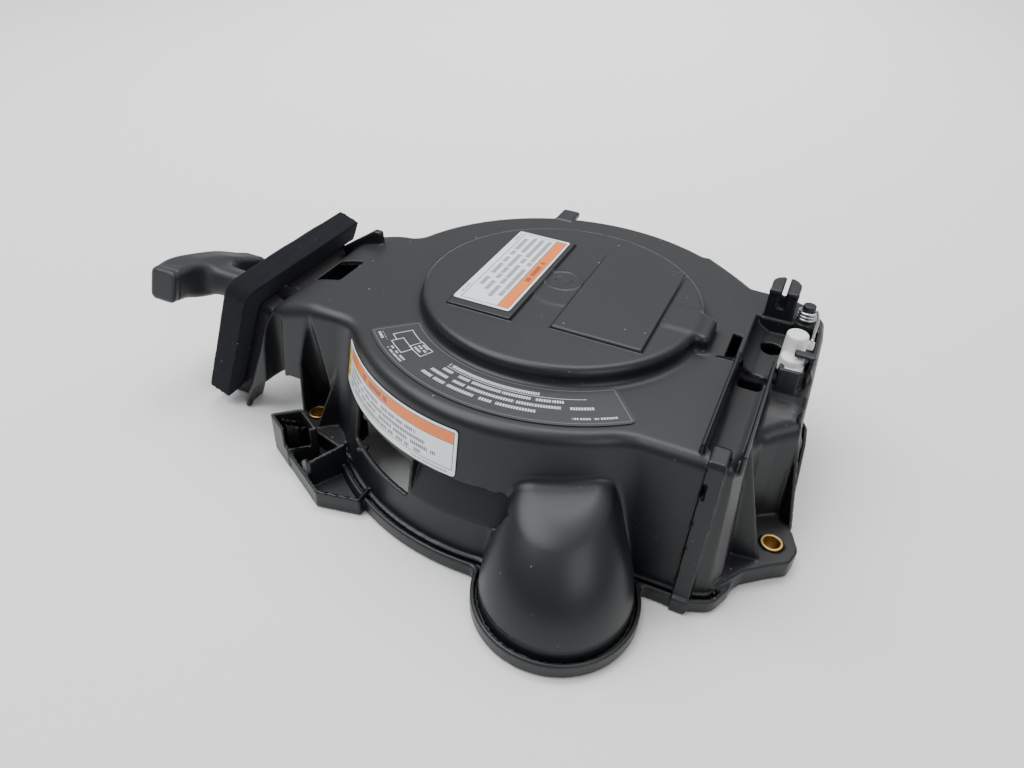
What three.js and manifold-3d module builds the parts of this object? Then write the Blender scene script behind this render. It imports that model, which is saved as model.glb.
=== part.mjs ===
// Recoil starter of a small outboard engine: moulded cover, rope drum with its spiral spring and
// drive pawls, T-handle on a rope, foam seal and the start-lock lever. Millimetres, +Z up.
// The assembly is drawn around the drum's axis with the mounting flange on Z = 0, and moved at the
// end so that the origin is the middle of the base of its bounding box.
import * as THREE from "three";
import { mergeVertices } from "three/addons/utils/BufferGeometryUtils.js";
import Module from "manifold-3d";

const wasm = await Module();
wasm.setup();

// ---------------------------------------------------------------- driving dimensions
const GAP = 0.3; // clearance kept between touching pieces
const WALL = 3; // moulded wall
const SEGMENTS = 60; // round of the large walls

// Cover
const PLATE_Z = 88; // upper face of the top plate
const DISC_TOP_R = 118.5; // round wall at the plate
const DISC_BASE_R = 130; // round wall at the flange
const EDGE_ROUND = 7; // plate's outer edge
const FLANGE_H = 9;
const FLANGE_LIP = 5; // flange stands this far proud of the wall
const DRAFT = 6; // lean of the straight walls over the full height
const DOME_R = 80;
const DOME_H = 10;
const PAD_H = 1.7; // the dome's two raised pads; the left one carries a label
const LOBE = { x0: 66, x1: 87, y0: -12, y1: 13 };

// Right-hand extension of the cover, seen from above
const DECK_X = 142;
const FRONT_Y = -97;
const CORNER_X = 122;

// Cable trough along the right of the plate
const TROUGH = { x0: 102, x1: 122, y0: -97, y1: -16, depth: 8, rail: 1.8, railH: 5 };
const DECK = { x0: 105, x1: 138, y0: -6.5, y1: 42, depth: 8 };
const SHOULDER = { y: -9.5, z: 78, foot: 66 }; // step in front of the deck, right of the trough
const OVAL = { x: 117, y: 24, r: 6 }; // hole through the deck's floor
const BRACKET = { x: 115, y: 42, halfWidth: 8, top: 106, slot: 1.4, slotFoot: 97 };

// Snout with the raked face that the rope leaves through
const SNOUT = { xBack: -95, yNear: -76, yFar: 34, foot: -182, topFront: 78 };
const RAKE = Math.atan2(29, 78); // lean of the snout's face, about 20 degrees
const FACE_OPENING = { y0: -66, y1: 26, top: 75 }; // neck that carries the seal
const SEAL = { near: -81, far: 31, low: 4, high: 91, leg: 15, back: 8.5, front: 23 };

// Funnel bulge on the front wall
const FUNNEL = { x: 55, y: -130, r: 38.5, lip: 3.5 };

// Labels, angles in degrees about the drum's axis
const LABEL_H = 0.5;
const DOME_LABEL = { x0: -49, x1: -13, y0: -45, y1: 51 };
const ARC_LABEL = { from: -137, to: -50, inner: 82.5, outer: 110.5 };
const WALL_LABEL = { from: -140.5, to: -92, low: 53.5, high: 80, lift: 0.4, thick: 0.6 };

// Mounting ears
const EAR_H = 12;
const COLLAR = { outer: 6, inner: 4.3, height: 13 };
const EARS = {
  right: { x: 146, y: -53 },
  front: { x: -125, y: -72.5 },
  rear: { x: 38, y: 137 },
};

// Drum and drive
const DRUM = { low: 57, high: 77, rimR: 76, grooveR: 60, cupR: 56, web: 3, hubR: 13 };
const SHAFT_R = 8;
const SHAFT_LOW = DRUM.low - 6.5;
const ROPE_R = 2.6;
const ROPE_PITCH_R = DRUM.grooveR + 3 * ROPE_R; // rope's own line on the drum
const SPRING = { inner: 19, outer: 53, turns: 7, thick: 1.1, low: DRUM.low + 4, high: DRUM.high - 2 };
const PAWL = { pivotR: 30, thick: 5, z: DRUM.low - 7.5 };
const PULL = { y: -44, z: 67, barX: -230 }; // level line of the pull, and the grip's place at rest
const HANDLE_TWIST = THREE.MathUtils.degToRad(18);
const NOSE = { tip: -189, ring: 12.5, body: 7.6, bore: 3.4 }; // guide that the handle rests against

// Start-lock lever
const LEVER = { x: 128, y: 9, low: 80.3, top: 102, hubR: 6 };
const SPRING_POST = { x: 130, y: 47, r: 3.4, top: 99.5 };

// ---------------------------------------------------------------- solids
function toSolid(geometry) {
  const bare = geometry.clone();
  bare.deleteAttribute("normal");
  bare.deleteAttribute("uv");
  const merged = mergeVertices(bare, 1e-4);
  const count = merged.getAttribute("position").count;
  const index = merged.index ? merged.index.array : Array.from({ length: count }, (_, i) => i);
  return new wasm.Manifold(
    new wasm.Mesh({
      numProp: 3,
      vertProperties: new Float32Array(merged.getAttribute("position").array),
      triVerts: new Uint32Array(index),
    }),
  );
}

function toGeometry(solid) {
  const mesh = solid.getMesh();
  const geometry = new THREE.BufferGeometry();
  const points = new Float32Array(mesh.numVert * 3);
  for (let i = 0; i < mesh.numVert; i++)
    for (let k = 0; k < 3; k++) points[3 * i + k] = mesh.vertProperties[i * mesh.numProp + k];
  geometry.setAttribute("position", new THREE.BufferAttribute(points, 3));
  geometry.setIndex(new THREE.BufferAttribute(new Uint32Array(mesh.triVerts), 1));
  const flat = geometry.toNonIndexed();
  flat.computeVertexNormals();
  return flat;
}

const union = (...solids) => solids.reduce((a, b) => a.add(b));
const cut = (solid, ...tools) => tools.reduce((a, b) => a.subtract(b), solid);

function box(x0, x1, y0, y1, z0, z1) {
  const geometry = new THREE.BoxGeometry(x1 - x0, y1 - y0, z1 - z0);
  geometry.translate((x0 + x1) / 2, (y0 + y1) / 2, (z0 + z1) / 2);
  return toSolid(geometry);
}

// Upright cylinder or cone between two heights.
function post(x, y, z0, z1, r0, r1 = r0, segments = 24) {
  const geometry = new THREE.CylinderGeometry(r1, r0, z1 - z0, segments);
  geometry.rotateX(Math.PI / 2);
  geometry.translate(x, y, (z0 + z1) / 2);
  return toSolid(geometry);
}

// Cylinder between two points.
function rod(from, to, r0, r1 = r0, segments = 20) {
  const a = new THREE.Vector3(...from);
  const b = new THREE.Vector3(...to);
  const along = b.clone().sub(a);
  const geometry = new THREE.CylinderGeometry(r1, r0, along.length(), segments);
  const turn = new THREE.Quaternion().setFromUnitVectors(new THREE.Vector3(0, 1, 0), along.normalize());
  geometry.applyQuaternion(turn);
  geometry.translate(...a.add(b).multiplyScalar(0.5).toArray());
  return toSolid(geometry);
}

// Solid of revolution about Z from a closed profile of [radius, height] points.
function lathe(profile, segments = SEGMENTS) {
  const points = profile.map(([r, z]) => new THREE.Vector2(r, z));
  const area = points.reduce((sum, p, i) => sum + p.cross(points[(i + 1) % points.length]), 0);
  if (area < 0) points.reverse();
  const start = points.findIndex((p, i) => p.x === 0 && points[(i + 1) % points.length].x > 0);
  const turned = start > 0 ? [...points.slice(start), ...points.slice(0, start)] : points;
  if (start < 0) turned.push(turned[0].clone());
  const geometry = new THREE.LatheGeometry(turned, segments);
  geometry.rotateX(Math.PI / 2);
  return toSolid(geometry);
}

function shapeOf(points) {
  return new THREE.Shape(points.map(([x, y]) => new THREE.Vector2(x, y)));
}

// Upright prism over a plan outline.
function prism(points, z0, z1) {
  const geometry = new THREE.ExtrudeGeometry(shapeOf(points), { depth: z1 - z0, bevelEnabled: false });
  geometry.translate(0, 0, z0);
  return toSolid(geometry);
}

// Slab in the X-Z plane, from one Y to another.
function slabXZ(points, y0, y1) {
  const geometry = new THREE.ExtrudeGeometry(shapeOf(points), { depth: y1 - y0, bevelEnabled: false });
  geometry.rotateX(Math.PI / 2);
  geometry.translate(0, y1, 0);
  return toSolid(geometry);
}

// Slab in the Y-Z plane, from one X to another.
function slabYZ(points, x0, x1) {
  const geometry = new THREE.ExtrudeGeometry(shapeOf(points), { depth: x1 - x0, bevelEnabled: false });
  const axes = new THREE.Matrix4().makeBasis(
    new THREE.Vector3(0, 1, 0),
    new THREE.Vector3(0, 0, 1),
    new THREE.Vector3(1, 0, 0),
  );
  geometry.applyMatrix4(axes);
  geometry.translate(x0, 0, 0);
  return toSolid(geometry);
}

// Outline moved outwards by a distance; points run anticlockwise.
function offset(points, distance) {
  const n = points.length;
  return points.map((p, i) => {
    const before = points[(i + n - 1) % n];
    const after = points[(i + 1) % n];
    const a = new THREE.Vector2(p[0] - before[0], p[1] - before[1]).normalize();
    const b = new THREE.Vector2(after[0] - p[0], after[1] - p[1]).normalize();
    const bisector = new THREE.Vector2(a.y + b.y, -a.x - b.x).normalize();
    const reach = distance / Math.max(0.3, bisector.x * a.y - bisector.y * a.x);
    return [p[0] + bisector.x * reach, p[1] + bisector.y * reach];
  });
}

// Skin over outlines of equal length at rising heights: levels are { z, points }.
function loft(levels) {
  const n = levels[0].points.length;
  const position = levels.flatMap(({ z, points }) => points.flatMap(([x, y]) => [x, y, z]));
  const index = [];
  for (let level = 0; level + 1 < levels.length; level++)
    for (let i = 0; i < n; i++) {
      const a = level * n + i;
      const b = level * n + ((i + 1) % n);
      index.push(a, b, b + n, a, b + n, a + n);
    }
  const capOf = (points) =>
    THREE.ShapeUtils.triangulateShape(points.map(([x, y]) => new THREE.Vector2(x, y)), []);
  const top = (levels.length - 1) * n;
  for (const [a, b, c] of capOf(levels[0].points)) index.push(c, b, a);
  for (const [a, b, c] of capOf(levels.at(-1).points)) index.push(top + a, top + b, top + c);
  const geometry = new THREE.BufferGeometry();
  geometry.setAttribute("position", new THREE.Float32BufferAttribute(position, 3));
  geometry.setIndex(index);
  return toSolid(geometry);
}

function circle(x, y, r, count = 40) {
  return Array.from({ length: count }, (_, i) => {
    const angle = (2 * Math.PI * i) / count;
    return [x + r * Math.cos(angle), y + r * Math.sin(angle)];
  });
}

// Tube of round section along a smooth route.
function tube(route, radius, steps, sides = 10) {
  const curve = new THREE.CatmullRomCurve3(route.map((p) => new THREE.Vector3(...p)));
  const section = shapeOf(circle(0, 0, radius, sides));
  return toSolid(
    new THREE.ExtrudeGeometry(section, { steps, bevelEnabled: false, extrudePath: curve }),
  );
}

const assembly = new THREE.Group();

function piece(name, solid, finish, parent = assembly) {
  const material = new THREE.MeshStandardMaterial({ metalness: 0, ...finish });
  const mesh = new THREE.Mesh(toGeometry(solid), material);
  mesh.name = name;
  parent.add(mesh);
  return mesh;
}

const FINISH = {
  mould: { color: 0x1d2021, roughness: 0.5 },
  rubber: { color: 0x17191b, roughness: 0.7 },
  foam: { color: 0x14181f, roughness: 0.95 },
  brass: { color: 0xb08a3e, roughness: 0.35, metalness: 0.9 },
  steel: { color: 0xa9adb0, roughness: 0.3, metalness: 0.9 },
  spring: { color: 0x6d7073, roughness: 0.35, metalness: 0.9 },
  acetal: { color: 0xf2f3f1, roughness: 0.35 },
  nylon: { color: 0x2a2c2e, roughness: 0.45 },
  drum: { color: 0x2b2d2e, roughness: 0.5 },
  rope: { color: 0xd8d6cc, roughness: 0.85 },
  paper: { color: 0xeeeeea, roughness: 0.4 },
  dark_label: { color: 0x2a2c2d, roughness: 0.45 },
};

// ---------------------------------------------------------------- raked frame of the snout
// Local X points out of the snout's face along the pull, local Y towards the near side, local Z up
// the face; its origin is the foot of the face in the plane of the drum's axis.
const outward = new THREE.Vector3(-Math.cos(RAKE), 0, Math.sin(RAKE));
const upFace = new THREE.Vector3(Math.sin(RAKE), 0, Math.cos(RAKE));
const rakeMatrix = new THREE.Matrix4().makeBasis(outward, new THREE.Vector3(0, -1, 0), upFace);
rakeMatrix.setPosition(SNOUT.foot, 0, 0);

// A solid drawn in the raked frame, brought into the assembly's frame.
function raked(solid) {
  return solid.transform(rakeMatrix.elements);
}

// ---------------------------------------------------------------- cover
function discVolume(inset) {
  const top = PLATE_Z - inset;
  const radius = (z) => DISC_BASE_R - inset + ((DISC_TOP_R - DISC_BASE_R) * z) / PLATE_Z;
  const round = EDGE_ROUND - inset / 2;
  const edge = [0, 1, 2, 3, 4].map((i) => {
    const angle = (i * Math.PI) / 8;
    return [radius(top) - round + round * Math.cos(angle), top - round + round * Math.sin(angle)];
  });
  return lathe([[0, -inset], [radius(0), -inset], ...edge, [0, top]]);
}

const EXTENSION = [
  [30, -97],
  [112, FRONT_Y],
  [119, -94],
  [CORNER_X, -87],
  [CORNER_X, -46],
  [126, -38],
  [133, -32],
  [DECK_X, -26],
  [DECK_X, 42],
  [141, 57],
  [135, 68],
  [122, 75],
  [96, 76],
  [86, 85],
  [63, 104],
  [30, 80],
];

function extensionVolume(inset) {
  const base = offset(EXTENSION, DRAFT - inset);
  const shoulder = offset(EXTENSION, -inset);
  const top = offset(EXTENSION, -4 - inset / 2);
  return loft([
    { z: -inset, points: base },
    { z: PLATE_Z - 5 - inset / 2, points: shoulder },
    { z: PLATE_Z - inset, points: top },
  ]);
}

function snoutVolume(inset) {
  const slope = Math.cos(RAKE);
  const faceX = (z) => SNOUT.foot + z * Math.tan(RAKE) + inset / slope;
  const creaseX = -121;
  const top = PLATE_Z - inset;
  const front = SNOUT.topFront - inset;
  const side = [
    [SNOUT.xBack, -inset],
    [SNOUT.xBack, top],
    [creaseX, top],
    [faceX(front), front],
    [faceX(-inset), -inset],
  ];
  return cut(slabXZ(side, SNOUT.yNear + inset, SNOUT.yFar - inset), ...snoutRecesses(inset));
}

// Pocket above the front ear and the groove in the near wall; the inner skin follows both.
function snoutRecesses(inset) {
  const pocket = box(-131.5 - inset, -90, -90, -61 + inset, -10, 82 + inset);
  const groove = box(-165 - inset, -156 + inset, -90, SNOUT.yNear + 5 + inset, -10, 74 + inset);
  return [pocket, groove];
}

// The funnel narrows and leans back into the wall.
function funnelVolume(inset) {
  const rings = [
    [-inset, 0, 0, 38.5],
    [8, 0, 0, 38.5],
    [24, -0.5, 1, 35.5],
    [40, -2, 4, 31],
    [52, -4, 8, 25.5],
    [58, -5, 11, 20.5],
    [63, -5, 15, 12],
  ];
  const levels = rings.map(([z, dx, dy, r]) => ({
    z: z > 50 ? z - inset : z,
    points: circle(FUNNEL.x + dx, FUNNEL.y + dy, r - inset),
  }));
  return loft(levels);
}

function domeVolume(inset) {
  const top = PLATE_Z + DOME_H - inset;
  const rim = DOME_R - inset;
  const round = 6;
  const edge = [0, 1, 2, 3].map((i) => {
    const angle = (i * Math.PI) / 6;
    return [rim - round + round * Math.cos(angle), top - round + round * Math.sin(angle)];
  });
  return lathe([[0, 60], [rim, 60], ...edge, [0, top]]);
}

function coverShell() {
  const lobe = (inset) =>
    prism(
      [
        [LOBE.x0, LOBE.y0 + inset],
        [LOBE.x1 - 3 - inset, LOBE.y0 + inset],
        [LOBE.x1 - inset, LOBE.y0 + 3 + inset],
        [LOBE.x1 - inset, LOBE.y1 - 3 - inset],
        [LOBE.x1 - 3 - inset, LOBE.y1 - inset],
        [LOBE.x0, LOBE.y1 - inset],
      ],
      70,
      PLATE_Z + DOME_H - 1 - inset,
    );
  const flange = union(
    post(0, 0, 0, FLANGE_H, DISC_BASE_R + FLANGE_LIP, DISC_BASE_R + FLANGE_LIP, SEGMENTS),
    post(FUNNEL.x, FUNNEL.y, 0, FLANGE_H, FUNNEL.r + FUNNEL.lip, FUNNEL.r + FUNNEL.lip, 40),
    prism(offset(EXTENSION.slice(0, -1), DRAFT + 2), 0, FLANGE_H),
  );
  const outer = union(
    discVolume(0),
    extensionVolume(0),
    snoutVolume(0),
    funnelVolume(0),
    domeVolume(0),
    lobe(0),
    flange,
    box(-50, -12, -47, 53, PLATE_Z + 7, PLATE_Z + DOME_H + PAD_H),
    box(9, 59, -43, 49, PLATE_Z + 7, PLATE_Z + DOME_H + PAD_H),
  );
  const inner = union(
    discVolume(WALL),
    extensionVolume(WALL),
    snoutVolume(WALL),
    funnelVolume(WALL),
    domeVolume(WALL),
    lobe(WALL),
  );
  return { outer, inner };
}

// Trough and deck: the plate is sunk to make them, so their floors are added under it first.
function deckFloors() {
  const top = PLATE_Z - 1;
  const troughLow = PLATE_Z - TROUGH.depth - WALL;
  const deckLow = PLATE_Z - DECK.depth - WALL;
  const trough = box(TROUGH.x0 - 2, TROUGH.x1 + 2, TROUGH.y0 + 2, TROUGH.y1, troughLow, top);
  const deck = box(DECK.x0 - 2, DECK.x1 + WALL, TROUGH.y1, DECK.y1 + WALL, deckLow, top);
  const shoulder = slabYZ(
    [
      [-52, SHOULDER.foot - WALL - 2],
      [-26, SHOULDER.foot - WALL - 2],
      [-6, SHOULDER.z - WALL - 3],
      [-6, top],
      [-52, top],
    ],
    CORNER_X - 4,
    DECK_X + 10,
  );
  return union(trough, deck, shoulder);
}

function deckCuts() {
  const floor = PLATE_Z - DECK.depth;
  const pocket = slabXZ(
    [
      [DECK.x0 + 8, floor],
      [DECK.x1, floor],
      [DECK.x1, PLATE_Z + 1],
      [DECK.x0, PLATE_Z + 1],
      [DECK.x0, PLATE_Z - 2],
    ],
    DECK.y0,
    DECK.y1,
  );
  const trough = box(
    TROUGH.x0 + TROUGH.rail,
    TROUGH.x1 - TROUGH.rail,
    TROUGH.y0 + 8,
    TROUGH.y1,
    PLATE_Z - TROUGH.depth,
    PLATE_Z + 1,
  );
  const oval = post(OVAL.x, OVAL.y, 60, 100, OVAL.r, OVAL.r, 20);
  const slot = box(96, 101, -10, 16, 70, 100);
  const smallSlot = box(137.2, 139.4, 9, 19, 70, 100);
  const step = slabYZ(
    [
      [-60, SHOULDER.foot],
      [-27, SHOULDER.foot],
      [-20, SHOULDER.z - 4],
      [SHOULDER.y - 4, SHOULDER.z],
      [SHOULDER.y, SHOULDER.z],
      [SHOULDER.y, PLATE_Z + 1],
      [-60, PLATE_Z + 1],
    ],
    CORNER_X,
    DECK_X + 10,
  );
  const leverBore = post(LEVER.x, LEVER.y, 60, 100, 2.5, 2.5, 16);
  return [pocket, trough, oval, slot, smallSlot, step, leverBore];
}

function rails() {
  const rail = (x) => box(x, x + TROUGH.rail, TROUGH.y0 + 2, TROUGH.y1, PLATE_Z - 4, PLATE_Z + TROUGH.railH);
  return union(rail(TROUGH.x0), rail(TROUGH.x1 - TROUGH.rail));
}

// Flat strap that closes the trough's mouth and runs down the front wall.
function strap() {
  const down = [
    [-86, PLATE_Z - 3],
    [-86, PLATE_Z + 2],
    [-99, PLATE_Z + 2],
    [-105, 2],
    [-102, 2],
    [-96, PLATE_Z - 3],
  ];
  return slabYZ(down, 108, 116);
}

// Bracket with a forked top that holds the lock cable's sleeve.
function cableBracket() {
  const { x, y, halfWidth, top, slot, slotFoot } = BRACKET;
  const wall = box(x - halfWidth, x + halfWidth, y, y + WALL, 70, top);
  const ledge = union(
    box(x - halfWidth, x + halfWidth, y, y + 9, top - 2.5, top),
    post(x, y + 9, top - 2.5, top, halfWidth),
  );
  const fork = box(x - slot, x + slot, y - 1, y + 20, slotFoot, top + 1);
  const keyhole = rod([x, y - 1, slotFoot], [x, y + 4, slotFoot], slot + 0.8, slot + 0.8, 14);
  return cut(union(wall, ledge), fork, keyhole);
}

// Upright stub that carries the torsion spring, on a boss on the plate.
function springStub() {
  const { x, y, r } = SPRING_POST;
  return union(post(x, y, 80, 89.5, 6.5), post(x, y, 89, SPRING_POST.top - 4, r - 0.8, r - 0.8, 20));
}

// Block in front of the lock lever and the hook that keeps the lever down.
function leverSeat() {
  const { x, y } = LEVER;
  const block = box(123, 135, -9.5, -6.5, 72, PLATE_Z);
  const hook = union(box(137.6, 139.6, -2.6, 2.2, 78, 97), box(128, 139.6, -2.6, 2.2, 94.2, 97));
  return union(block, hook);
}

// Ear with a collar seat and gusset ribs rising to the wall.
function ear(outline, { x, y }) {
  const seat = COLLAR.outer + GAP;
  return cut(prism(outline, 0, EAR_H), post(x, y, -1, EAR_H + 1, seat, seat, 24));
}

function gusset(from, to, low, high, thick = 2.6) {
  const a = new THREE.Vector2(...from);
  const b = new THREE.Vector2(...to);
  const length = a.distanceTo(b);
  const geometry = new THREE.ExtrudeGeometry(
    shapeOf([
      [0, 1],
      [length, 1],
      [length, low],
      [0, high],
    ]),
    { depth: thick, bevelEnabled: false },
  );
  geometry.translate(0, 0, -thick / 2);
  geometry.rotateX(Math.PI / 2);
  geometry.rotateZ(Math.atan2(b.y - a.y, b.x - a.x));
  geometry.translate(a.x, a.y, 0);
  return toSolid(geometry);
}

function rightEar() {
  const outline = [
    [112, -100],
    [125, -92],
    [131, -76],
    [145, -68],
    [156, -62],
    [160, -54],
    [158, -44],
    [154, -34],
    [136, -20],
    [112, -30],
  ];
  return union(
    ear(outline, EARS.right),
    gusset([120, -72], [143, -67], EAR_H - 2, 84),
    gusset([134, -29], [154, -36], EAR_H - 2, 84),
  );
}

function frontEar() {
  const outline = [
    [-100, -60],
    [-110, -58],
    [-128, -60],
    [-136, -68],
    [-136, -77],
    [-128, -84],
    [-100, -92],
  ];
  return union(ear(outline, EARS.front), gusset([-98, -68], [-118, -84], EAR_H, 84));
}

function rearEar() {
  const { x, y } = EARS.rear;
  const outline = [
    [x - 20, 118],
    [x + 24, 112],
    [x + 13, y + 8],
    [x + 5, y + 13],
    [x - 6, y + 12],
    [x - 12, y + 5],
  ];
  return union(ear(outline, EARS.rear), gusset([x - 10, 112], [x - 11, y + 6], EAR_H, 60));
}

// Lead tray at the front left: a floor with a rim, a partition and a clip box.
function leadTray() {
  const outline = [
    [-62, -108],
    [-62, -123],
    [-87, -128],
    [-137, -100],
    [-125, -88],
    [-108, -84],
    [-92, -92],
  ];
  const floor = prism(outline, 0, 2.5);
  const rim = cut(prism(outline, 0, 11), prism(offset(outline, -2.2), -1, 12));
  const partition = gusset([-86, -98], [-99, -120], 20, 24, 2.2);
  const clipBox = cut(
    prism(
      [
        [-137, -100],
        [-118, -111],
        [-106, -99],
        [-125, -88],
      ],
      0,
      26,
    ),
    prism(
      [
        [-134, -100],
        [-118, -109],
        [-109, -100],
        [-125, -90.5],
      ],
      2.5,
      30,
    ),
  );
  return union(floor, rim, partition, clipBox);
}

// Neck that stands out of the raked face inside the seal, open below.
function faceNeck() {
  const { y0, y1, top } = FACE_OPENING;
  const outline = [
    [-y1, 6],
    [-y0, 6],
    [-y0, top],
    [-y1, top],
  ];
  const bore = [
    [-y1 + WALL, -5],
    [-y0 - WALL, -5],
    [-y0 - WALL, top - WALL],
    [-y1 + WALL, top - WALL],
  ];
  return raked(cut(slabYZ(outline, -WALL, SEAL.front - 3), slabYZ(bore, 0, SEAL.front)));
}

function fin() {
  return slabXZ(
    [
      [-131, PLATE_Z - 6],
      [-131, PLATE_Z + 8],
      [-158, PLATE_Z - 12],
      [-156, PLATE_Z - 16],
    ],
    13,
    16,
  );
}

function innerRibs() {
  const dome = PLATE_Z + DOME_H - 1.5;
  const shaft = cut(post(0, 0, SHAFT_LOW, dome, SHAFT_R, SHAFT_R, 32), post(0, 0, 40, 74, 3.2, 3.2, 16));
  const foot = post(0, 0, 84, dome, 16, 18, 32);
  const webs = [0, 1, 2, 3, 4, 5].map((i) => {
    const angle = ((i + 0.5) * Math.PI) / 3;
    const inner = [84 * Math.cos(angle), 84 * Math.sin(angle)];
    const outer = [112 * Math.cos(angle), 112 * Math.sin(angle)];
    const web = gusset(inner, outer, 86, 86, 2.4);
    return cut(web, box(-200, 200, -200, 200, 0, 78));
  });
  return union(shaft, foot, ...webs);
}

function wallWindow() {
  const wedge = (angle, r) => [r * Math.cos(angle), r * Math.sin(angle)];
  const from = THREE.MathUtils.degToRad(-130);
  const to = THREE.MathUtils.degToRad(-105);
  const middle = (from + to) / 2;
  const outline = [wedge(from, 108), wedge(from, 142), wedge(middle, 146), wedge(to, 142), wedge(to, 108)];
  return prism(outline, 27, 50);
}

function snoutCuts() {
  const hole = box(-144, -126, -38, -12, 60, 100);
  const arch = slabXZ(
    [
      [-134, -5],
      [-134, 37],
      [-148, 33],
      [-161, 25],
      [-172, 14],
      [-177, -5],
    ],
    -84,
    -64,
  );
  return [hole, arch];
}

// Opening through the lower part of the raked face, inside the neck.
function faceMouth() {
  return raked(
    slabYZ(
      [
        [-20, -5],
        [60, -5],
        [60, 40],
        [-20, 40],
      ],
      -8,
      1,
    ),
  );
}

function cover() {
  const { outer, inner } = coverShell();
  const shell = union(outer, rightEar(), frontEar(), rearEar(), leadTray()).subtract(inner);
  const floors = deckFloors().intersect(outer);
  const rearTab = box(-46, -34, 108, 121, PLATE_Z - 3.5, PLATE_Z);
  const belowFlange = box(-400, 400, -400, 400, -50, 0);
  const body = cut(union(shell, floors), ...deckCuts(), wallWindow(), ...snoutCuts());
  const fitted = union(
    body,
    rails(),
    strap(),
    cableBracket(),
    springStub(),
    leverSeat(),
    fin(),
    faceNeck(),
    innerRibs(),
    rearTab,
  );
  const bore = NOSE.body + GAP;
  const guideBore = union(
    rod([-200, PULL.y, PULL.z], [-152, PULL.y, PULL.z], bore, bore, 24),
    rod([-152.2, PULL.y, PULL.z], [-135, PULL.y, PULL.z], bore + 2.4, bore + 2.4, 24),
  );
  return cut(fitted, guideBore, faceMouth(), belowFlange);
}

piece("housing", cover(), FINISH.mould);

// ---------------------------------------------------------------- collars, seal and labels
for (const [name, { x, y }] of Object.entries(EARS)) {
  const wall = [
    [COLLAR.inner, 0],
    [COLLAR.outer, 0],
    [COLLAR.outer, COLLAR.height],
    [COLLAR.inner, COLLAR.height],
  ];
  piece(`collar_${name}`, lathe(wall, 24).translate([x, y, 0]), FINISH.brass);
}

function seal() {
  const { near, far, low, high, leg, back, front } = SEAL;
  const outline = [
    [-near, low],
    [-near, high - 7],
    [-near - 2, high - 2],
    [-near - 7, high],
    [-far, high],
    [-far, high - leg],
    [-near - leg, high - leg],
    [-near - leg, low],
  ];
  const clear = NOSE.body + 2 * GAP;
  const notch = rod([-210, PULL.y, PULL.z], [-150, PULL.y, PULL.z], clear, clear, 24);
  return cut(raked(slabYZ(outline, back, front)), notch);
}
piece("foam_seal", seal(), FINISH.foam);

function domeLabel() {
  const { x0, x1, y0, y1 } = DOME_LABEL;
  const z = PLATE_Z + DOME_H + PAD_H + GAP;
  return box(x0, x1, y0, y1, z, z + LABEL_H);
}
piece("dome_label", domeLabel(), FINISH.paper);

// Bent label between two radii, on the plate beside the dome.
function arcLabel() {
  const from = THREE.MathUtils.degToRad(ARC_LABEL.from);
  const to = THREE.MathUtils.degToRad(ARC_LABEL.to);
  const steps = 20;
  const at = (i, r) => {
    const angle = from + ((to - from) * i) / steps;
    return [r * Math.cos(angle), r * Math.sin(angle)];
  };
  const ring = [];
  for (let i = 0; i <= steps; i++) ring.push(at(i, ARC_LABEL.outer));
  for (let i = steps; i >= 0; i--) ring.push(at(i, ARC_LABEL.inner));
  return prism(ring, PLATE_Z + GAP, PLATE_Z + GAP + LABEL_H);
}
piece("arc_label", arcLabel(), FINISH.dark_label);

// Label wrapped on the leaning round wall.
function wallLabel() {
  const { low, high, lift, thick } = WALL_LABEL;
  const from = THREE.MathUtils.degToRad(WALL_LABEL.from);
  const to = THREE.MathUtils.degToRad(WALL_LABEL.to);
  const steps = 16;
  const at = (i, z, out) => {
    const angle = from + ((to - from) * i) / steps;
    const r = DISC_BASE_R + ((DISC_TOP_R - DISC_BASE_R) * z) / PLATE_Z + lift + out;
    return [r * Math.cos(angle), r * Math.sin(angle)];
  };
  const ring = (z) => {
    const points = [];
    for (let i = 0; i <= steps; i++) points.push(at(i, z, thick));
    for (let i = steps; i >= 0; i--) points.push(at(i, z, 0));
    return points;
  };
  return loft([
    { z: low, points: ring(low) },
    { z: high, points: ring(high) },
  ]);
}
piece("side_label", wallLabel(), FINISH.paper);

// ---------------------------------------------------------------- drum and recoil spring
function drum() {
  const { low, high, rimR, grooveR, cupR, web, hubR } = DRUM;
  const bore = SHAFT_R + 2 + 2 * GAP;
  return lathe([
    [bore, low - 6],
    [hubR + 4, low - 6],
    [hubR + 4, low],
    [rimR, low],
    [rimR, low + web],
    [grooveR, low + web + 2],
    [grooveR, high - web - 2],
    [rimR, high - web],
    [rimR, high],
    [cupR, high],
    [cupR, low + web],
    [hubR, low + web],
    [hubR, high + 4],
    [bore, high + 4],
  ], 48);
}

function drumWithPockets() {
  const knotPocket = post(40, -34, DRUM.low - 1, DRUM.low + 2, 5, 5, 16);
  const pinR = 3 + GAP;
  const pins = [-PAWL.pivotR, PAWL.pivotR].map((x) => post(x, 0, 40, DRUM.low + 1.8, pinR, pinR, 16));
  const notches = Array.from({ length: 8 }, (_, i) => {
    const angle = (i * Math.PI) / 4;
    const x = (DRUM.rimR + 1) * Math.cos(angle);
    const y = (DRUM.rimR + 1) * Math.sin(angle);
    return rod([x, y, DRUM.high - 4], [x, y, DRUM.high + 2], 3.5, 3.5, 8);
  });
  return cut(drum(), knotPocket, ...pins, ...notches);
}
piece("sheave_drum", drumWithPockets(), FINISH.drum);

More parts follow.
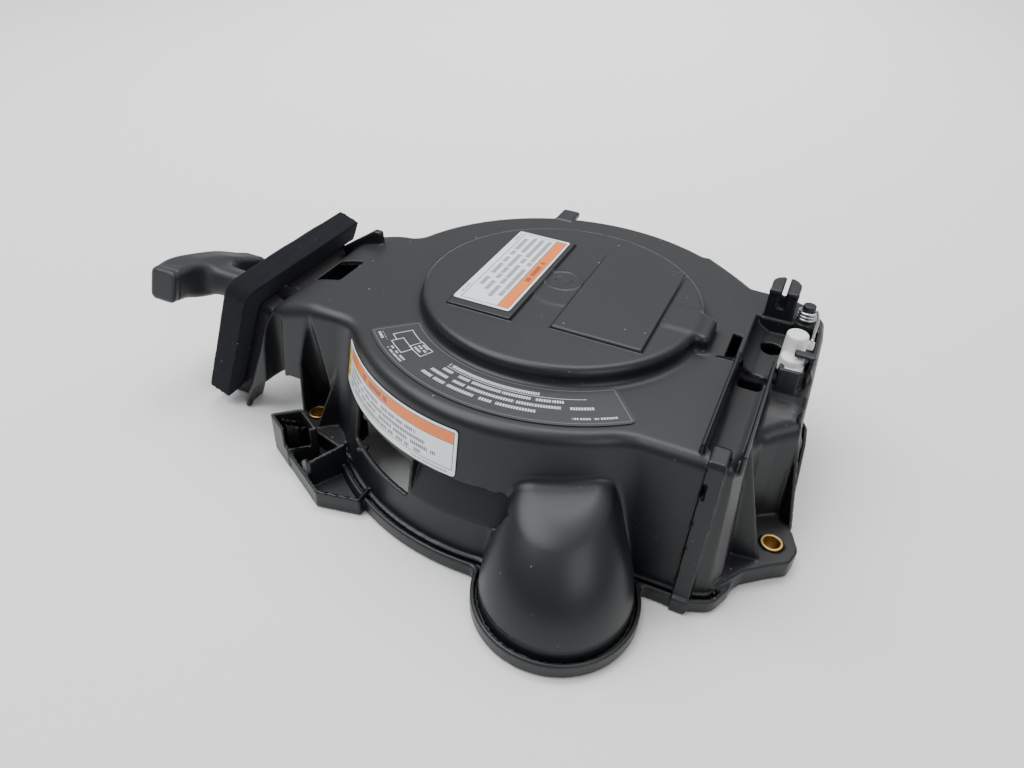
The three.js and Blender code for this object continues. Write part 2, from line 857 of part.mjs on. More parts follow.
piece(
  "drum_bush",
  lathe(
    [
      [SHAFT_R + 0.05, DRUM.low - 6],
      [SHAFT_R + 2 + GAP, DRUM.low - 6],
      [SHAFT_R + 2 + GAP, DRUM.high + 4],
      [SHAFT_R + 0.05, DRUM.high + 4],
    ],
    32,
  ),
  FINISH.acetal,
);

// Clock spring: a flat strip wound in the drum's cup.
function clockSpring() {
  const { inner, outer, turns, thick, low, high } = SPRING;
  const steps = turns * 12;
  const at = (i, lift) => {
    const angle = (2 * Math.PI * turns * i) / steps;
    const r = inner + ((outer - inner) * i) / steps + lift;
    return [r * Math.cos(angle), r * Math.sin(angle)];
  };
  const ring = [];
  for (let i = 0; i <= steps; i++) ring.push(at(i, thick / 2));
  for (let i = steps; i >= 0; i--) ring.push(at(i, -thick / 2));
  return prism(ring, low, high);
}
piece("recoil_spring", clockSpring(), FINISH.spring);

// ---------------------------------------------------------------- rope
function woundRope() {
  const inner = DRUM.grooveR + GAP;
  const middle = (DRUM.low + DRUM.high) / 2;
  const half = 5;
  return lathe(
    [
      [inner, middle - half],
      [inner + 6, middle - half],
      [inner + 8, middle - half + 2],
      [inner + 8, middle + half - 2],
      [inner + 6, middle + half],
      [inner, middle + half],
    ],
    48,
  );
}
piece("rope_wound", woundRope(), FINISH.rope);

// The rope leaves the drum level, at its near side, and runs straight to the guide.
function ropeLead() {
  const angle = -Math.PI / 2 - 0.16;
  const r = ROPE_PITCH_R + 3.6;
  const leave = [r * Math.cos(angle), r * Math.sin(angle), PULL.z];
  const inside = [-150, PULL.y, PULL.z];
  const mid = (t) => leave.map((v, k) => v + (inside[k] - v) * t);
  const inGuide = [-170, PULL.y, PULL.z];
  const tip = [NOSE.tip - 1, PULL.y, PULL.z];
  const route = [leave, mid(0.33), mid(0.66), mid(0.9), inside, inGuide, tip];
  return tube(route, ROPE_R, 24, 8);
}
piece("rope_lead", ropeLead(), FINISH.rope);
piece("rope_drum_knot", post(40, -34, DRUM.low - 4, DRUM.low + 1.7, 4.4, 3.6, 14), FINISH.rope);

// Points along a level axis through the pull's line, from a profile of [radius, X] points.
function levelLathe(profile, segments) {
  const axes = new THREE.Matrix4().makeBasis(
    new THREE.Vector3(0, 1, 0),
    new THREE.Vector3(0, 0, 1),
    new THREE.Vector3(1, 0, 0),
  );
  axes.setPosition(0, PULL.y, PULL.z);
  return lathe(profile, segments).transform(axes.elements);
}

piece(
  "rope_guide",
  levelLathe(
    [
      [NOSE.bore, -148],
      [NOSE.body + 2.4, -148],
      [NOSE.body + 2.4, -151.7],
      [NOSE.body, -151.7],
      [NOSE.body, NOSE.tip + 4],
      [NOSE.ring, NOSE.tip + 3.5],
      [NOSE.ring, NOSE.tip + 0.8],
      [NOSE.ring - 1, NOSE.tip],
      [NOSE.bore, NOSE.tip],
    ],
    28,
  ),
  FINISH.nylon,
);

// ---------------------------------------------------------------- T-handle
// Its own frame: X out along the pull, Y along the grip towards the near side, Z up.
const handle = new THREE.Group();
handle.position.set(PULL.barX, PULL.y, PULL.z);
handle.rotation.set(HANDLE_TWIST, 0, Math.PI, "ZYX");
assembly.add(handle);

const GRIP = { half: 41, cap: 6, deep: 8.2, tall: 9, bow: 9 };
const NECK_END = PULL.barX - NOSE.tip + GAP; // handle's inner end, against the guide

function gripSection(y) {
  const t = y / GRIP.half;
  const x = -GRIP.bow * t * t;
  const swell = 1 + 0.14 * (1 - t * t);
  return Array.from({ length: 16 }, (_, i) => {
    const angle = (2 * Math.PI * i) / 16;
    const c = Math.cos(angle);
    const s = Math.sin(angle);
    const square = 1 / (c ** 4 + s ** 4) ** 0.25;
    return [x + GRIP.deep * swell * square * c, GRIP.tall * swell * square * s];
  });
}

// Skin over the grip's sections between two places along it; sections are [X, Z] outlines.
function gripStretch(y0, y1, steps) {
  const levels = Array.from({ length: steps + 1 }, (_, i) => {
    const y = y0 + ((y1 - y0) * i) / steps;
    return { z: -y, points: gripSection(y) };
  });
  const axes = new THREE.Matrix4().makeBasis(
    new THREE.Vector3(1, 0, 0),
    new THREE.Vector3(0, 0, 1),
    new THREE.Vector3(0, -1, 0),
  );
  return loft(levels).transform(axes.elements);
}

function grip() {
  const end = GRIP.half - GRIP.cap;
  const bar = gripStretch(end, -end, 12);
  const neck = union(
    rod([NECK_END, 0, 0], [-22, 0, 0], 8, 8.6, 20),
    rod([-22.5, 0, 0], [-5, 0, 0], 8.4, 13, 20),
  );
  const bore = rod([NECK_END - 1, 0, 0], [20, 0, 0], ROPE_R + 0.6, ROPE_R + 0.6, 12);
  const pocket = rod([0, 0, 0], [20, 0, 0], 6.5, 6.5, 20);
  return cut(union(bar, neck), bore, pocket);
}
piece("handle_grip", grip(), FINISH.rubber, handle);
piece("handle_cap_near", gripStretch(GRIP.half, GRIP.half - GRIP.cap + GAP, 2), FINISH.rubber, handle);
piece("handle_cap_far", gripStretch(-GRIP.half + GRIP.cap - GAP, -GRIP.half, 2), FINISH.rubber, handle);
piece("handle_rope_knot", rod([0.4, 0, 0], [5, 0, 0], 4.8, 4, 14), FINISH.rope, handle);
piece("handle_plug", rod([6, 0, 0], [9.6, 0, 0], 6.1, 6.1, 20), FINISH.rubber, handle);
piece("rope_tail", rod([NECK_END + 1.2, 0, 0], [0.1, 0, 0], ROPE_R, ROPE_R, 10), FINISH.rope, handle);

// ---------------------------------------------------------------- drive pawls under the drum
function pawlShape(i) {
  const outline = [
    [-5, -5],
    [4, -6],
    [10, -3],
    [21, 1],
    [24, 5],
    [19, 6],
    [8, 5],
    [0, 6],
    [-5, 4],
  ];
  const blade = prism(outline, PAWL.z, PAWL.z + PAWL.thick);
  const eye = post(0, 0, 40, 60, 3.1, 3.1, 16);
  const angle = i * Math.PI;
  return cut(blade, eye)
    .mirror([0, 1, 0])
    .rotate([0, 0, THREE.MathUtils.radToDeg(angle) - 75])
    .translate([PAWL.pivotR * Math.cos(angle), PAWL.pivotR * Math.sin(angle), 0]);
}

function pawlPin(i) {
  const angle = i * Math.PI;
  const pin = union(
    post(0, 0, PAWL.z - 2.5, PAWL.z - GAP, 5.5, 5.5, 20),
    post(0, 0, PAWL.z - 1, DRUM.low + 1.5, 3, 3, 16),
  );
  return pin.translate([PAWL.pivotR * Math.cos(angle), PAWL.pivotR * Math.sin(angle), 0]);
}

// Hairpin spring that lies beside the pawl and folds it back.
function pawlSpring(i) {
  const angle = i * Math.PI;
  const z = PAWL.z + PAWL.thick / 2;
  const route = [
    [-3, -15, z],
    [-9, -13, z],
    [-11, -4, z],
    [-11, 6, z],
    [-8, 12, z],
    [-3, 18, z],
  ];
  return tube(route, 0.7, 16, 6)
    .mirror([0, 1, 0])
    .rotate([0, 0, THREE.MathUtils.radToDeg(angle)])
    .translate([PAWL.pivotR * Math.cos(angle), PAWL.pivotR * Math.sin(angle), 0]);
}

for (const i of [0, 1]) {
  piece(`drive_pawl_${i + 1}`, pawlShape(i), FINISH.steel);
  piece(`pawl_pin_${i + 1}`, pawlPin(i), FINISH.steel);
  piece(`pawl_spring_${i + 1}`, pawlSpring(i), FINISH.spring);
}

piece(
  "retaining_washer",
  lathe(
    [
      [3.3, SHAFT_LOW - 0.3 - 2],
      [15, SHAFT_LOW - 0.3 - 2],
      [15, SHAFT_LOW - 0.3],
      [3.3, SHAFT_LOW - 0.3],
    ],
    28,
  ),
  FINISH.steel,
);
piece(
  "pivot_bolt",
  union(
    post(0, 0, SHAFT_LOW - 8.6, SHAFT_LOW - 2.6, 6.5, 6.5, 6),
    post(0, 0, SHAFT_LOW - 3, 70, 3, 3, 14),
  ),
  FINISH.steel,
);

// ---------------------------------------------------------------- start-lock lever
function stopLever() {
  const { x, y, low, top, hubR } = LEVER;
  const hub = union(post(x, y, low, top - 1.2, hubR), post(x, y, top - 1.4, top, hubR - 0.2, hubR - 1.4));
  const lobe = union(
    post(x + 0.6, y - 7.2, low + 1.5, 92.5, 6.2),
    post(x + 1.2, y - 8.2, low + 0.5, 90, 6.4),
    box(x - 4, x + 4, y - 7, y, low, 91),
  );
  const tab = box(x + 4.5, x + 9.4, y + 1, y + 5, 93, 97);
  return cut(union(hub, lobe, tab), post(x, y, 70, 120, 2.5, 2.5, 16));
}
piece("stop_lever", stopLever(), FINISH.acetal);
piece(
  "lever_pin",
  union(
    post(LEVER.x, LEVER.y, 62, 102.6, 2.2, 2.2, 14),
    post(LEVER.x, LEVER.y, 102.4, 103.6, 3.6, 3, 16),
  ),
  FINISH.steel,
);

// Arm under the plate that swings in to the drum's notched rim.
function stopArm() {
  const { x, y } = LEVER;
  const outline = [
    [x + 6, y - 5],
    [x + 6, y + 6],
    [x - 4, y + 6],
    [x - 34, y + 4],
    [x - 44, y - 2],
    [x - 46, y - 6],
    [x - 36, y - 3],
    [x - 6, y - 5],
  ];
  return cut(prism(outline, DRUM.high - 6, DRUM.high - 2), post(x, y, 60, 80, 2.5, 2.5, 16));
}
piece("stop_arm", stopArm(), FINISH.steel);

function torsionSpring() {
  const { x, y, r } = SPRING_POST;
  const turns = 3;
  const steps = turns * 10;
  const pitch = 1.9;
  const coil = Array.from({ length: steps + 1 }, (_, i) => {
    const angle = -Math.PI / 2 + (2 * Math.PI * turns * i) / steps;
    const z = 90.5 + (pitch * turns * i) / steps;
    return [x + (r + 1.2) * Math.cos(angle), y + (r + 1.2) * Math.sin(angle), z];
  });
  const legEnd = [LEVER.x + LEVER.hubR + 1.4, LEVER.y + 1, 99];
  const legOut = [x + r + 2.4, y - 7, 97];
  const route = [...coil.slice(3), legOut, legEnd];
  return tube(route, 0.8, 60, 5);
}
piece("stop_spring", torsionSpring(), FINISH.steel);

// Cap pushed on the stub over the coil.
function springCap() {
  const { x, y, r, top } = SPRING_POST;
  const shell = post(x, y, 96.8, top, r + 0.6, r, 20);
  return cut(shell, post(x, y, 90, top - 1.5, r - 0.5, r - 0.5, 20));
}
piece("spring_cap", springCap(), FINISH.nylon);

// ---------------------------------------------------------------- row frame
assembly.updateMatrixWorld(true);
const bounds = new THREE.Box3().setFromObject(assembly);
const centre = bounds.getCenter(new THREE.Vector3());
assembly.position.set(-centre.x, -centre.y, -bounds.min.z);
const part = new THREE.Group();
part.add(assembly);

export default part;
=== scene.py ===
"""Looks of the recoil starter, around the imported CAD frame.

Shapes are drawn in millimetres around the drum's axis, with the flange's underside at Z = 0, and
moved to the row frame in metres when a mesh is made. The moulded and soft shapes are signed
distance solids: simple forms joined and cut with fillets, then skinned.
"""
import math

import bmesh
import bpy
import numpy as np
from mathutils import Matrix, Vector


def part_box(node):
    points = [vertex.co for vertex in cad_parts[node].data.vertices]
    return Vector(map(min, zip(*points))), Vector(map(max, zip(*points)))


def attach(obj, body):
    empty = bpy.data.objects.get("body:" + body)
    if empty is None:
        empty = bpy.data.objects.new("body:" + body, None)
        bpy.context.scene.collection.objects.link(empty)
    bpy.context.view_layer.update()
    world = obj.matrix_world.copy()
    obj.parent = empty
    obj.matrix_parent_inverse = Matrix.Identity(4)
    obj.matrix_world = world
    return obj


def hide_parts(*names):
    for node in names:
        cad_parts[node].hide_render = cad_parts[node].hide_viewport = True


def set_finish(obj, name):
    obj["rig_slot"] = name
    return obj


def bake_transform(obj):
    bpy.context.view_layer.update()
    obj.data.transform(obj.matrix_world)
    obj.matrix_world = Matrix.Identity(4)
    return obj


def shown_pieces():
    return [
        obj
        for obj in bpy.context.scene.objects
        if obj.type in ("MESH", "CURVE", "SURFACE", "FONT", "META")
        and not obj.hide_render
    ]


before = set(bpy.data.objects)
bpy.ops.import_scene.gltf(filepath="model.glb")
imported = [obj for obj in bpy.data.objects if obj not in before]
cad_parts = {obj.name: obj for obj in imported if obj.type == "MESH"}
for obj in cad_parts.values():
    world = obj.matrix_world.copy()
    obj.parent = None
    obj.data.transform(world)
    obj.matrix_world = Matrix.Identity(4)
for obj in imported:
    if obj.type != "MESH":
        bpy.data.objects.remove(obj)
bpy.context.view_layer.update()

MM = 0.001
low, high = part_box("pivot_bolt")
AXIS = (low + high) / 2 / MM  # the drum's axis, in millimetres in the row frame
SHIFT = np.array([AXIS.x, AXIS.y, 0.0])

# ---------------------------------------------------------------- driving sizes (millimetres)
WALL = 3.0
PLATE_Z = 88.0
DISC_TOP_R = 118.5
DISC_BASE_R = 130.0
WALL_MEAN_R = 124.0
DOME_R = 80.0
DOME_TOP = 98.0
PAD_TOP = 99.7
FLANGE_H = 9.0
FLANGE_LIP = 5.0
EAR_H = 12.0
CORNER_X = 122.0
SNOUT_FOOT = -182.0
SNOUT_NEAR = -73.0
SNOUT_FAR = 34.0
RAKE = math.atan2(29, 78)
FUNNEL = (55.0, -130.0, 38.5)
EARS = {"right": (146.0, -53.0), "front": (-125.0, -72.5), "rear": (38.0, 137.0)}
PULL_Y, PULL_Z = -44.0, 67.0
NOSE_TIP = -189.0
BAR_X = -230.0
LEVER = (128.0, 9.0)
SPRING_POST = (130.0, 47.0)


# ---------------------------------------------------------------- camera
def camera():
    """The photograph's viewpoint, as a place and three directions in the shapes' own frame."""
    place = Vector((122.4, -363.5, 314.2)) + Vector(SHIFT)
    right = Vector((0.9092, 0.4139, 0.0461))
    up = Vector((-0.2820, 0.5305, 0.7994))
    back = -Vector((-0.3064, 0.7398, -0.5990))
    data = bpy.data.cameras.new("camera")
    data.lens = 27.04
    data.sensor_width = 36
    data.clip_start = 0.01
    view = bpy.data.objects.new("camera", data)
    axes = Matrix((right.normalized(), up.normalized(), back.normalized())).transposed()
    view.matrix_world = Matrix.Translation(place * MM) @ axes.to_4x4()
    bpy.context.collection.objects.link(view)
    bpy.context.scene.camera = view


camera()


# ---------------------------------------------------------------- signed distance kit
def smin(a, b, k):
    """The nearer of two solids, with a fillet of size k where they meet."""
    if k <= 0:
        return np.minimum(a, b)
    h = np.maximum(k - np.abs(a - b), 0) / k
    return np.minimum(a, b) - h * h * k / 4


def smax(a, b, k):
    return -smin(-a, -b, k)


def rmax(a, b, r):
    """Both at once, with the edge between them rounded to radius r."""
    a, b = a + r, b + r
    return np.minimum(np.maximum(a, b), 0) + np.hypot(np.maximum(a, 0), np.maximum(b, 0)) - r


def outside(v, low, high):
    """How far a coordinate lies out of a range, negative inside."""
    return np.maximum(low - v, v - high)


def polar(radius, angle):
    return radius * math.cos(angle), radius * math.sin(angle)


def ramp(v, start, end):
    """0 before start, 1 after end, easing in between."""
    t = np.clip((v - start) / (end - start), 0, 1)
    return t * t * (3 - 2 * t)


def block(x0, x1, y0, y1, z0, z1, r=0.8):
    """Box with all its edges rounded."""
    def f(x, y, z):
        a = np.abs(x - (x0 + x1) / 2) - (x1 - x0) / 2 + r
        b = np.abs(y - (y0 + y1) / 2) - (y1 - y0) / 2 + r
        c = np.abs(z - (z0 + z1) / 2) - (z1 - z0) / 2 + r
        out = np.sqrt(np.maximum(a, 0) ** 2 + np.maximum(b, 0) ** 2 + np.maximum(c, 0) ** 2)
        return out + np.minimum(np.maximum(np.maximum(a, b), c), 0) - r
    return f, (x0, y0, z0), (x1, y1, z1)


def post(px, py, z0, z1, r0, r1=None, r=0.8):
    """Upright post or cone, its rims rounded."""
    top = r0 if r1 is None else r1
    lean = math.cos(math.atan2(top - r0, z1 - z0))
    def f(x, y, z):
        side = (np.hypot(x - px, y - py) - (r0 + (top - r0) * (z - z0) / (z1 - z0))) * lean
        return rmax(side, outside(z, z0, z1), r)
    most = max(r0, top)
    return f, (px - most, py - most, z0), (px + most, py + most, z1)


def bar(a, b, radius, r=0.6):
    """Straight round bar with flat ends."""
    a, b = np.array(a, float), np.array(b, float)
    length = np.linalg.norm(b - a)
    n = (b - a) / length
    def f(x, y, z):
        along = (x - a[0]) * n[0] + (y - a[1]) * n[1] + (z - a[2]) * n[2]
        gx, gy, gz = x - a[0] - along * n[0], y - a[1] - along * n[1], z - a[2] - along * n[2]
        return rmax(np.sqrt(gx * gx + gy * gy + gz * gz) - radius, np.maximum(-along, along - length), r)
    return f, tuple(np.minimum(a, b) - radius), tuple(np.maximum(a, b) + radius)


def outline_distance(points, u, v):
    """Distance to a closed outline in a plane, negative inside."""
    d = np.full(np.broadcast(u, v).shape, 1e9, np.float32)
    inside = np.zeros(d.shape, bool)
    n = len(points)
    for i in range(n):
        (ax, ay), (bx, by) = points[i], points[(i + 1) % n]
        ex, ey = bx - ax, by - ay
        t = np.clip(((u - ax) * ex + (v - ay) * ey) / (ex * ex + ey * ey), 0, 1)
        d = np.minimum(d, (u - ax - t * ex) ** 2 + (v - ay - t * ey) ** 2)
        crosses = ((ay <= v) & (by > v)) | ((by <= v) & (ay > v))
        if ey != 0:
            inside ^= crosses & (u < ax + ex * (v - ay) / ey)
    return np.where(inside, -np.sqrt(d), np.sqrt(d))


def slab(points, axis, low, high, r=1.0, corner=0.0):
    """Slab over a plane outline, from low to high along one axis; corner rounds the outline itself."""
    across = [a for a in range(3) if a != axis]
    def f(*place):
        u, v = (place[a] for a in across)
        w = place[axis]
        return rmax(outline_distance(points, u, v) - corner, outside(w, low, high), r)
    p = np.array(points)
    return f, np.insert(p.min(0) - corner, axis, low), np.insert(p.max(0) + corner, axis, high)


def prism(points, z0, z1, r=1.0, corner=0.0):
    """Upright slab over a plan outline."""
    return slab(points, 2, z0, z1, r, corner)


def above(form, z0, r=None):
    """A form's part over a height; r rounds the new edge."""
    f, lowest, highest = form
    def g(x, y, z):
        a, b = f(x, y, z), z0 - z
        return np.maximum(a, b) if r is None else rmax(a, b, r)
    return g, (*lowest[:2], z0), highest


def rib(start, end, low, high, thick=2.4, r=0.8):
    """Upright rib between two plan points; its top slopes from high at the start to low at the end."""
    a, b = np.array(start, float), np.array(end, float)
    length = np.linalg.norm(b - a)
    n = (b - a) / length
    steep = math.cos(math.atan2(high - low, length))
    def f(x, y, z):
        along = (x - a[0]) * n[0] + (y - a[1]) * n[1]
        across = np.abs((y - a[1]) * n[0] - (x - a[0]) * n[1]) - thick / 2
        top = (z - high - (low - high) * along / length) * steep
        return rmax(across, np.maximum(np.maximum(-along, along - length), np.maximum(top, 0.5 - z)), r)
    return f, (*(np.minimum(a, b) - thick), 0.5), (*(np.maximum(a, b) + thick), max(low, high))


FAR = 50.0  # the distance where no form reaches


class Solid:
    """Forms joined and cut one after another; each only reaches a little beyond its own box."""

    def __init__(self):
        self.steps = []

    def _step(self, kind, form, k):
        f, lowest, highest = form
        reach = max(4.0, 1.6 * k)
        self.steps.append((kind, f, np.array(lowest) - reach, np.array(highest) + reach, k))

    def add(self, form, k=0.0):
        self._step("add", form, k)

    def cut(self, form, k=0.0):
        self._step("cut", form, k)

    def hollow(self, wall):
        """Leaves a skin of this thickness, open below Z = 0."""
        self.steps.append(("hollow", None, None, None, wall))

    def _measure(self, d, z, near):
        """Works through the steps on distances d at heights z. near gives, for a form's box, which of
        them it can change and where those are."""
        for kind, f, lowest, highest, k in self.steps:
            if kind == "hollow":
                d = np.maximum(np.maximum(d, -(d + k)), -z)
                continue
            part, places = near(lowest, highest)
            old = d[part]
            if old.size:
                v = f(*places)
                d[part] = smin(old, v, k) if kind == "add" else smax(old, -v, k)
        return d

    def at(self, p):
        """Signed distances at points."""
        p = np.asarray(p, np.float32)
        def near(lowest, highest):
            part = np.all((p > lowest) & (p < highest), axis=1)
            return part, p[part].T
        return self._measure(np.full(len(p), FAR, np.float32), p[:, 2], near)

    def grid(self, axes):
        """Signed distances on a grid of points."""
        def near(lowest, highest):
            part = tuple(slice(*np.searchsorted(a, ends)) for a, ends in zip(axes, zip(lowest, highest)))
            return part, np.ix_(*(a[s] for a, s in zip(axes, part)))
        d = np.full([len(a) for a in axes], FAR, np.float32)
        return self._measure(d, axes[2][None, None, :], near)

    def slope(self, p, h=0.15):
        """Outward directions at points."""
        corners = np.array([(1, -1, -1), (-1, -1, 1), (-1, 1, -1), (1, 1, 1)], np.float32)
        g = sum(c[None, :] * self.at(p + h * c)[:, None] for c in corners)
        return g / np.maximum(np.linalg.norm(g, axis=1, keepdims=True), 1e-9)


def skin(solid, lowest, highest, step):
    """Quads over a solid's surface, with every corner moved onto the surface itself."""
    axes = [np.arange(a, b + step, step, dtype=np.float32) for a, b in zip(lowest, highest)]
    d = solid.grid(axes)
    inside = d < 0
    cells = np.array(d.shape) - 1
    places, quads = [], []
    for axis in range(3):
        u, v = [a for a in range(3) if a != axis]
        behind = tuple(slice(None, -1) if a == axis else slice(1, -1) for a in range(3))
        ahead = tuple(slice(1, None) if a == axis else slice(1, -1) for a in range(3))
        crosses = inside[behind] != inside[ahead]
        near, far = d[behind][crosses], d[ahead][crosses]
        where = np.argwhere(crosses)
        where[:, u] += 1
        where[:, v] += 1
        place = where.astype(np.float32)
        place[:, axis] += near / (near - far)
        corners = []
        for du, dv in ((1, 1), (0, 1), (0, 0), (1, 0)):
            cell = where.copy()
            cell[:, u] -= du
            cell[:, v] -= dv
            corners.append(np.ravel_multi_index(cell.T, cells))
        quad = np.stack(corners, 1)
        outward = inside[behind][crosses] ^ (axis == 1)
        quad[~outward] = quad[~outward][:, ::-1]
        quads.append(quad)
        places.append(place)
    quads, places = np.concatenate(quads), np.concatenate(places)
    index = np.unique(quads, return_inverse=True)[1].ravel()
    count = np.bincount(index)
    spread = np.repeat(places, 4, axis=0)
    p = np.stack([np.bincount(index, spread[:, a]) / count for a in range(3)], 1)
    p = (p * step + np.array(lowest)).astype(np.float32)
    for _ in range(2):
        p = p - solid.slope(p) * np.clip(solid.at(p), -step, step)[:, None]
    return p, index.reshape(-1, 4)


def to_row(p):
    """Points from the shapes' own frame to the row frame, in metres."""
    return (np.asarray(p) + SHIFT) * MM


def mesh_object(name, p, faces, body, *replaced, slot=None):
    """A piece from points in the shapes' own frame."""
    mesh = bpy.data.meshes.new(name)
    mesh.from_pydata(to_row(p).tolist(), [], [list(map(int, f)) for f in faces])
    mesh.update()
    piece = bpy.data.objects.new(name, mesh)
    bpy.context.collection.objects.link(piece)
    mesh.polygons.foreach_set("use_smooth", [True] * len(mesh.polygons))
    if replaced:
        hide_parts(*replaced)
    if slot:
        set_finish(piece, slot)
    if body:
        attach(piece, body)
    return piece


def points_of(piece):
    """A piece's points in the shapes' own frame."""
    co = np.zeros(len(piece.data.vertices) * 3, np.float32)
    piece.data.vertices.foreach_get("co", co)
    return co.reshape(-1, 3) / MM - SHIFT.astype(np.float32)


def thin_out(piece, ratio):
    """Fewer faces where the surface is plain."""
    fewer = piece.modifiers.new("fewer", "DECIMATE")
    fewer.ratio = ratio
    fewer.use_collapse_triangulate = True
    depsgraph = bpy.context.evaluated_depsgraph_get()
    mesh = bpy.data.meshes.new_from_object(piece.evaluated_get(depsgraph))
    piece.modifiers.remove(fewer)
    old = piece.data
    piece.data = mesh
    bpy.data.meshes.remove(old)
    mesh.name = piece.name


def edge_wear(solid, p, n, depth=1.1):
    """0 on flat or hollow surface and 1 on the sharpest outer edges."""
    return np.clip(1.0 + solid.at(p - n * depth) / depth, 0, 1)


def solid_piece(name, solid, lowest, highest, step, body, *replaced, slot=None, ratio=1.0, place=None):
    """A piece skinned from a solid, shaded by the solid's own slopes, with its outer edges marked.
    place brings a solid drawn in a frame of its own to the shapes' frame."""
    place = np.array(place or Matrix.Identity(4), float)
    turn, shift = place[:3, :3], place[:3, 3]
    p, faces = skin(solid, lowest, highest, step)
    piece = mesh_object(name, p @ turn.T + shift, faces, None, *replaced, slot=slot)
    if ratio < 1:
        thin_out(piece, ratio)
    p = (points_of(piece) - shift) @ turn
    n = solid.slope(p)
    piece.data.normals_split_custom_set_from_vertices((n @ turn.T).tolist())
    mark = piece.data.attributes.new("edge", "FLOAT", "POINT")
    mark.data.foreach_set("value", edge_wear(solid, p, n).astype(np.float32))
    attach(piece, body)
    return piece


# ---------------------------------------------------------------- housing
EXTENSION = [
    (30, -97), (112, -97), (119, -94), (122, -87), (122, -46), (126, -38), (133, -32), (142, -26),
    (142, 42), (141, 57), (135, 68), (122, 75), (96, 76), (86, 85), (63, 104), (30, 80),
]
TROUGH_X, TROUGH_HALF = 112.0, 8.1
TROUGH_FROM, TROUGH_TO, TROUGH_Z = -88.0, -6.0, 75.5
DECK = (105.0, 138.0, -6.5, 43.0)
DECK_Z, DECK_SCOOP = 80.0, 12.0


def wall_radius(z):
    """The round wall's radius at a height."""
    return DISC_BASE_R - (DISC_BASE_R - DISC_TOP_R) * z / PLATE_Z


def plan(x, y, z):
    """The cover's outline at a height: round wall, extension and snout, each leaning inwards."""
    disc = np.hypot(x, y) - wall_radius(z)
    side = outline_distance(EXTENSION, x, y) - 6.0 * (1 - z / 83.0)
    face = (SNOUT_FOOT + z * math.tan(RAKE) - x) * math.cos(RAKE)
    near = np.maximum(SNOUT_NEAR - 0.05 * (PLATE_Z - z) - y, y - SNOUT_FAR)
    snout = rmax(smax(near, face, 6.0), x + 60.0, 2.0)
    return smin(smin(disc, side, 5.0), snout, 9.0)


def cover_body():
    def f(x, y, z):
        slope_down = 10.0 * ramp(-x, 119.0, 168.0)
        edge = 6.0 + 4.0 * ramp(-x, 105.0, 140.0)
        return rmax(plan(x, y, z), z - PLATE_Z + slope_down, edge)
    return f, (-190, -140, -12), (160, 140, PLATE_Z)


def dome():
    def f(x, y, z):
        return rmax(np.hypot(x, y) - DOME_R, z - DOME_TOP, 4.5)
    return f, (-DOME_R, -DOME_R, 70), (DOME_R, DOME_R, DOME_TOP)


def funnel():
    """Bell that leans back into the wall, its top cut off on a slope that rises to the wall."""
    cx, cy, foot_r = FUNNEL
    top, brow = 66.0, 57.0
    narrow, shift_x, shift_y = 0.52, -8.0, 25.0
    def f(x, y, z):
        t = np.clip(z, 0, top) / top
        dx, dy = x - cx - shift_x * t ** 2.5, y - cy - shift_y * t ** 3
        radius = foot_r * (1 - narrow * t ** 2.2)
        across = np.hypot(dx, dy)
        drift = -2.5 * shift_x * t ** 1.5 * dx - 3 * shift_y * t ** 2 * dy
        lean = drift / np.maximum(across, 1.0) + 2.2 * narrow * foot_r * t ** 1.2
        side = (across - radius) / np.sqrt(1 + (lean / top) ** 2)
        lid = (z - brow - 0.22 * (y + 139.0)) * 0.975
        return rmax(side, lid, 4.0)
    return f, (cx - foot_r, cy - foot_r, -12), (cx + foot_r, cy + foot_r + 20, 80)


def tilted_band(angle_from, angle_to, z0, z1, depth):
    """Shallow recess in the round wall, deepest along its upper edge."""
    a, b = math.radians(angle_from), math.radians(angle_to)
    middle, half = (a + b) / 2, (b - a) / 2
    def f(x, y, z):
        out = np.hypot(x, y)
        turn = (np.arctan2(y, x) - middle) * WALL_MEAN_R
        wall = wall_radius(z)
        bottom = wall - depth * (z - z0) / (z1 - z0)
        deep = outside(out, bottom, wall + 12)
        wide = np.maximum(np.abs(turn) - half * WALL_MEAN_R, outside(z, z0, z1))
        return rmax(deep, wide, 0.5)
    p = np.array([polar(reach, t) for reach in (118, 142) for t in (a, middle, b)])
    return f, (*p.min(0), z0), (*p.max(0), z1)


def collar_clearance():
    """Leaning hollow in the snout's near wall that lets a socket reach the front collar."""
    px, py = EARS["front"]
    def f(x, y, z):
        radius = 16.0 - 15.0 * np.clip(z / 80.0, 0, 1) ** 1.3
        return np.maximum(np.hypot(x - px - 2.0, y - py + 2.0) - radius, px - 6.5 - x)
    return f, (px - 8, py - 20, -12), (px + 20, py + 20, 80)


def wall_groove():
    """Upright rounded groove in the snout's near wall."""
    def f(x, y, z):
        middle = -151.5 + 0.06 * (z - 40)
        side = np.hypot(x - middle, (y + 75.5) * 0.65) - 6.8
        return rmax(side, np.maximum(z - 76.0, -12.0 - z), 4.0)
    return f, (-166, -88, -12), (-137, -62, 76)


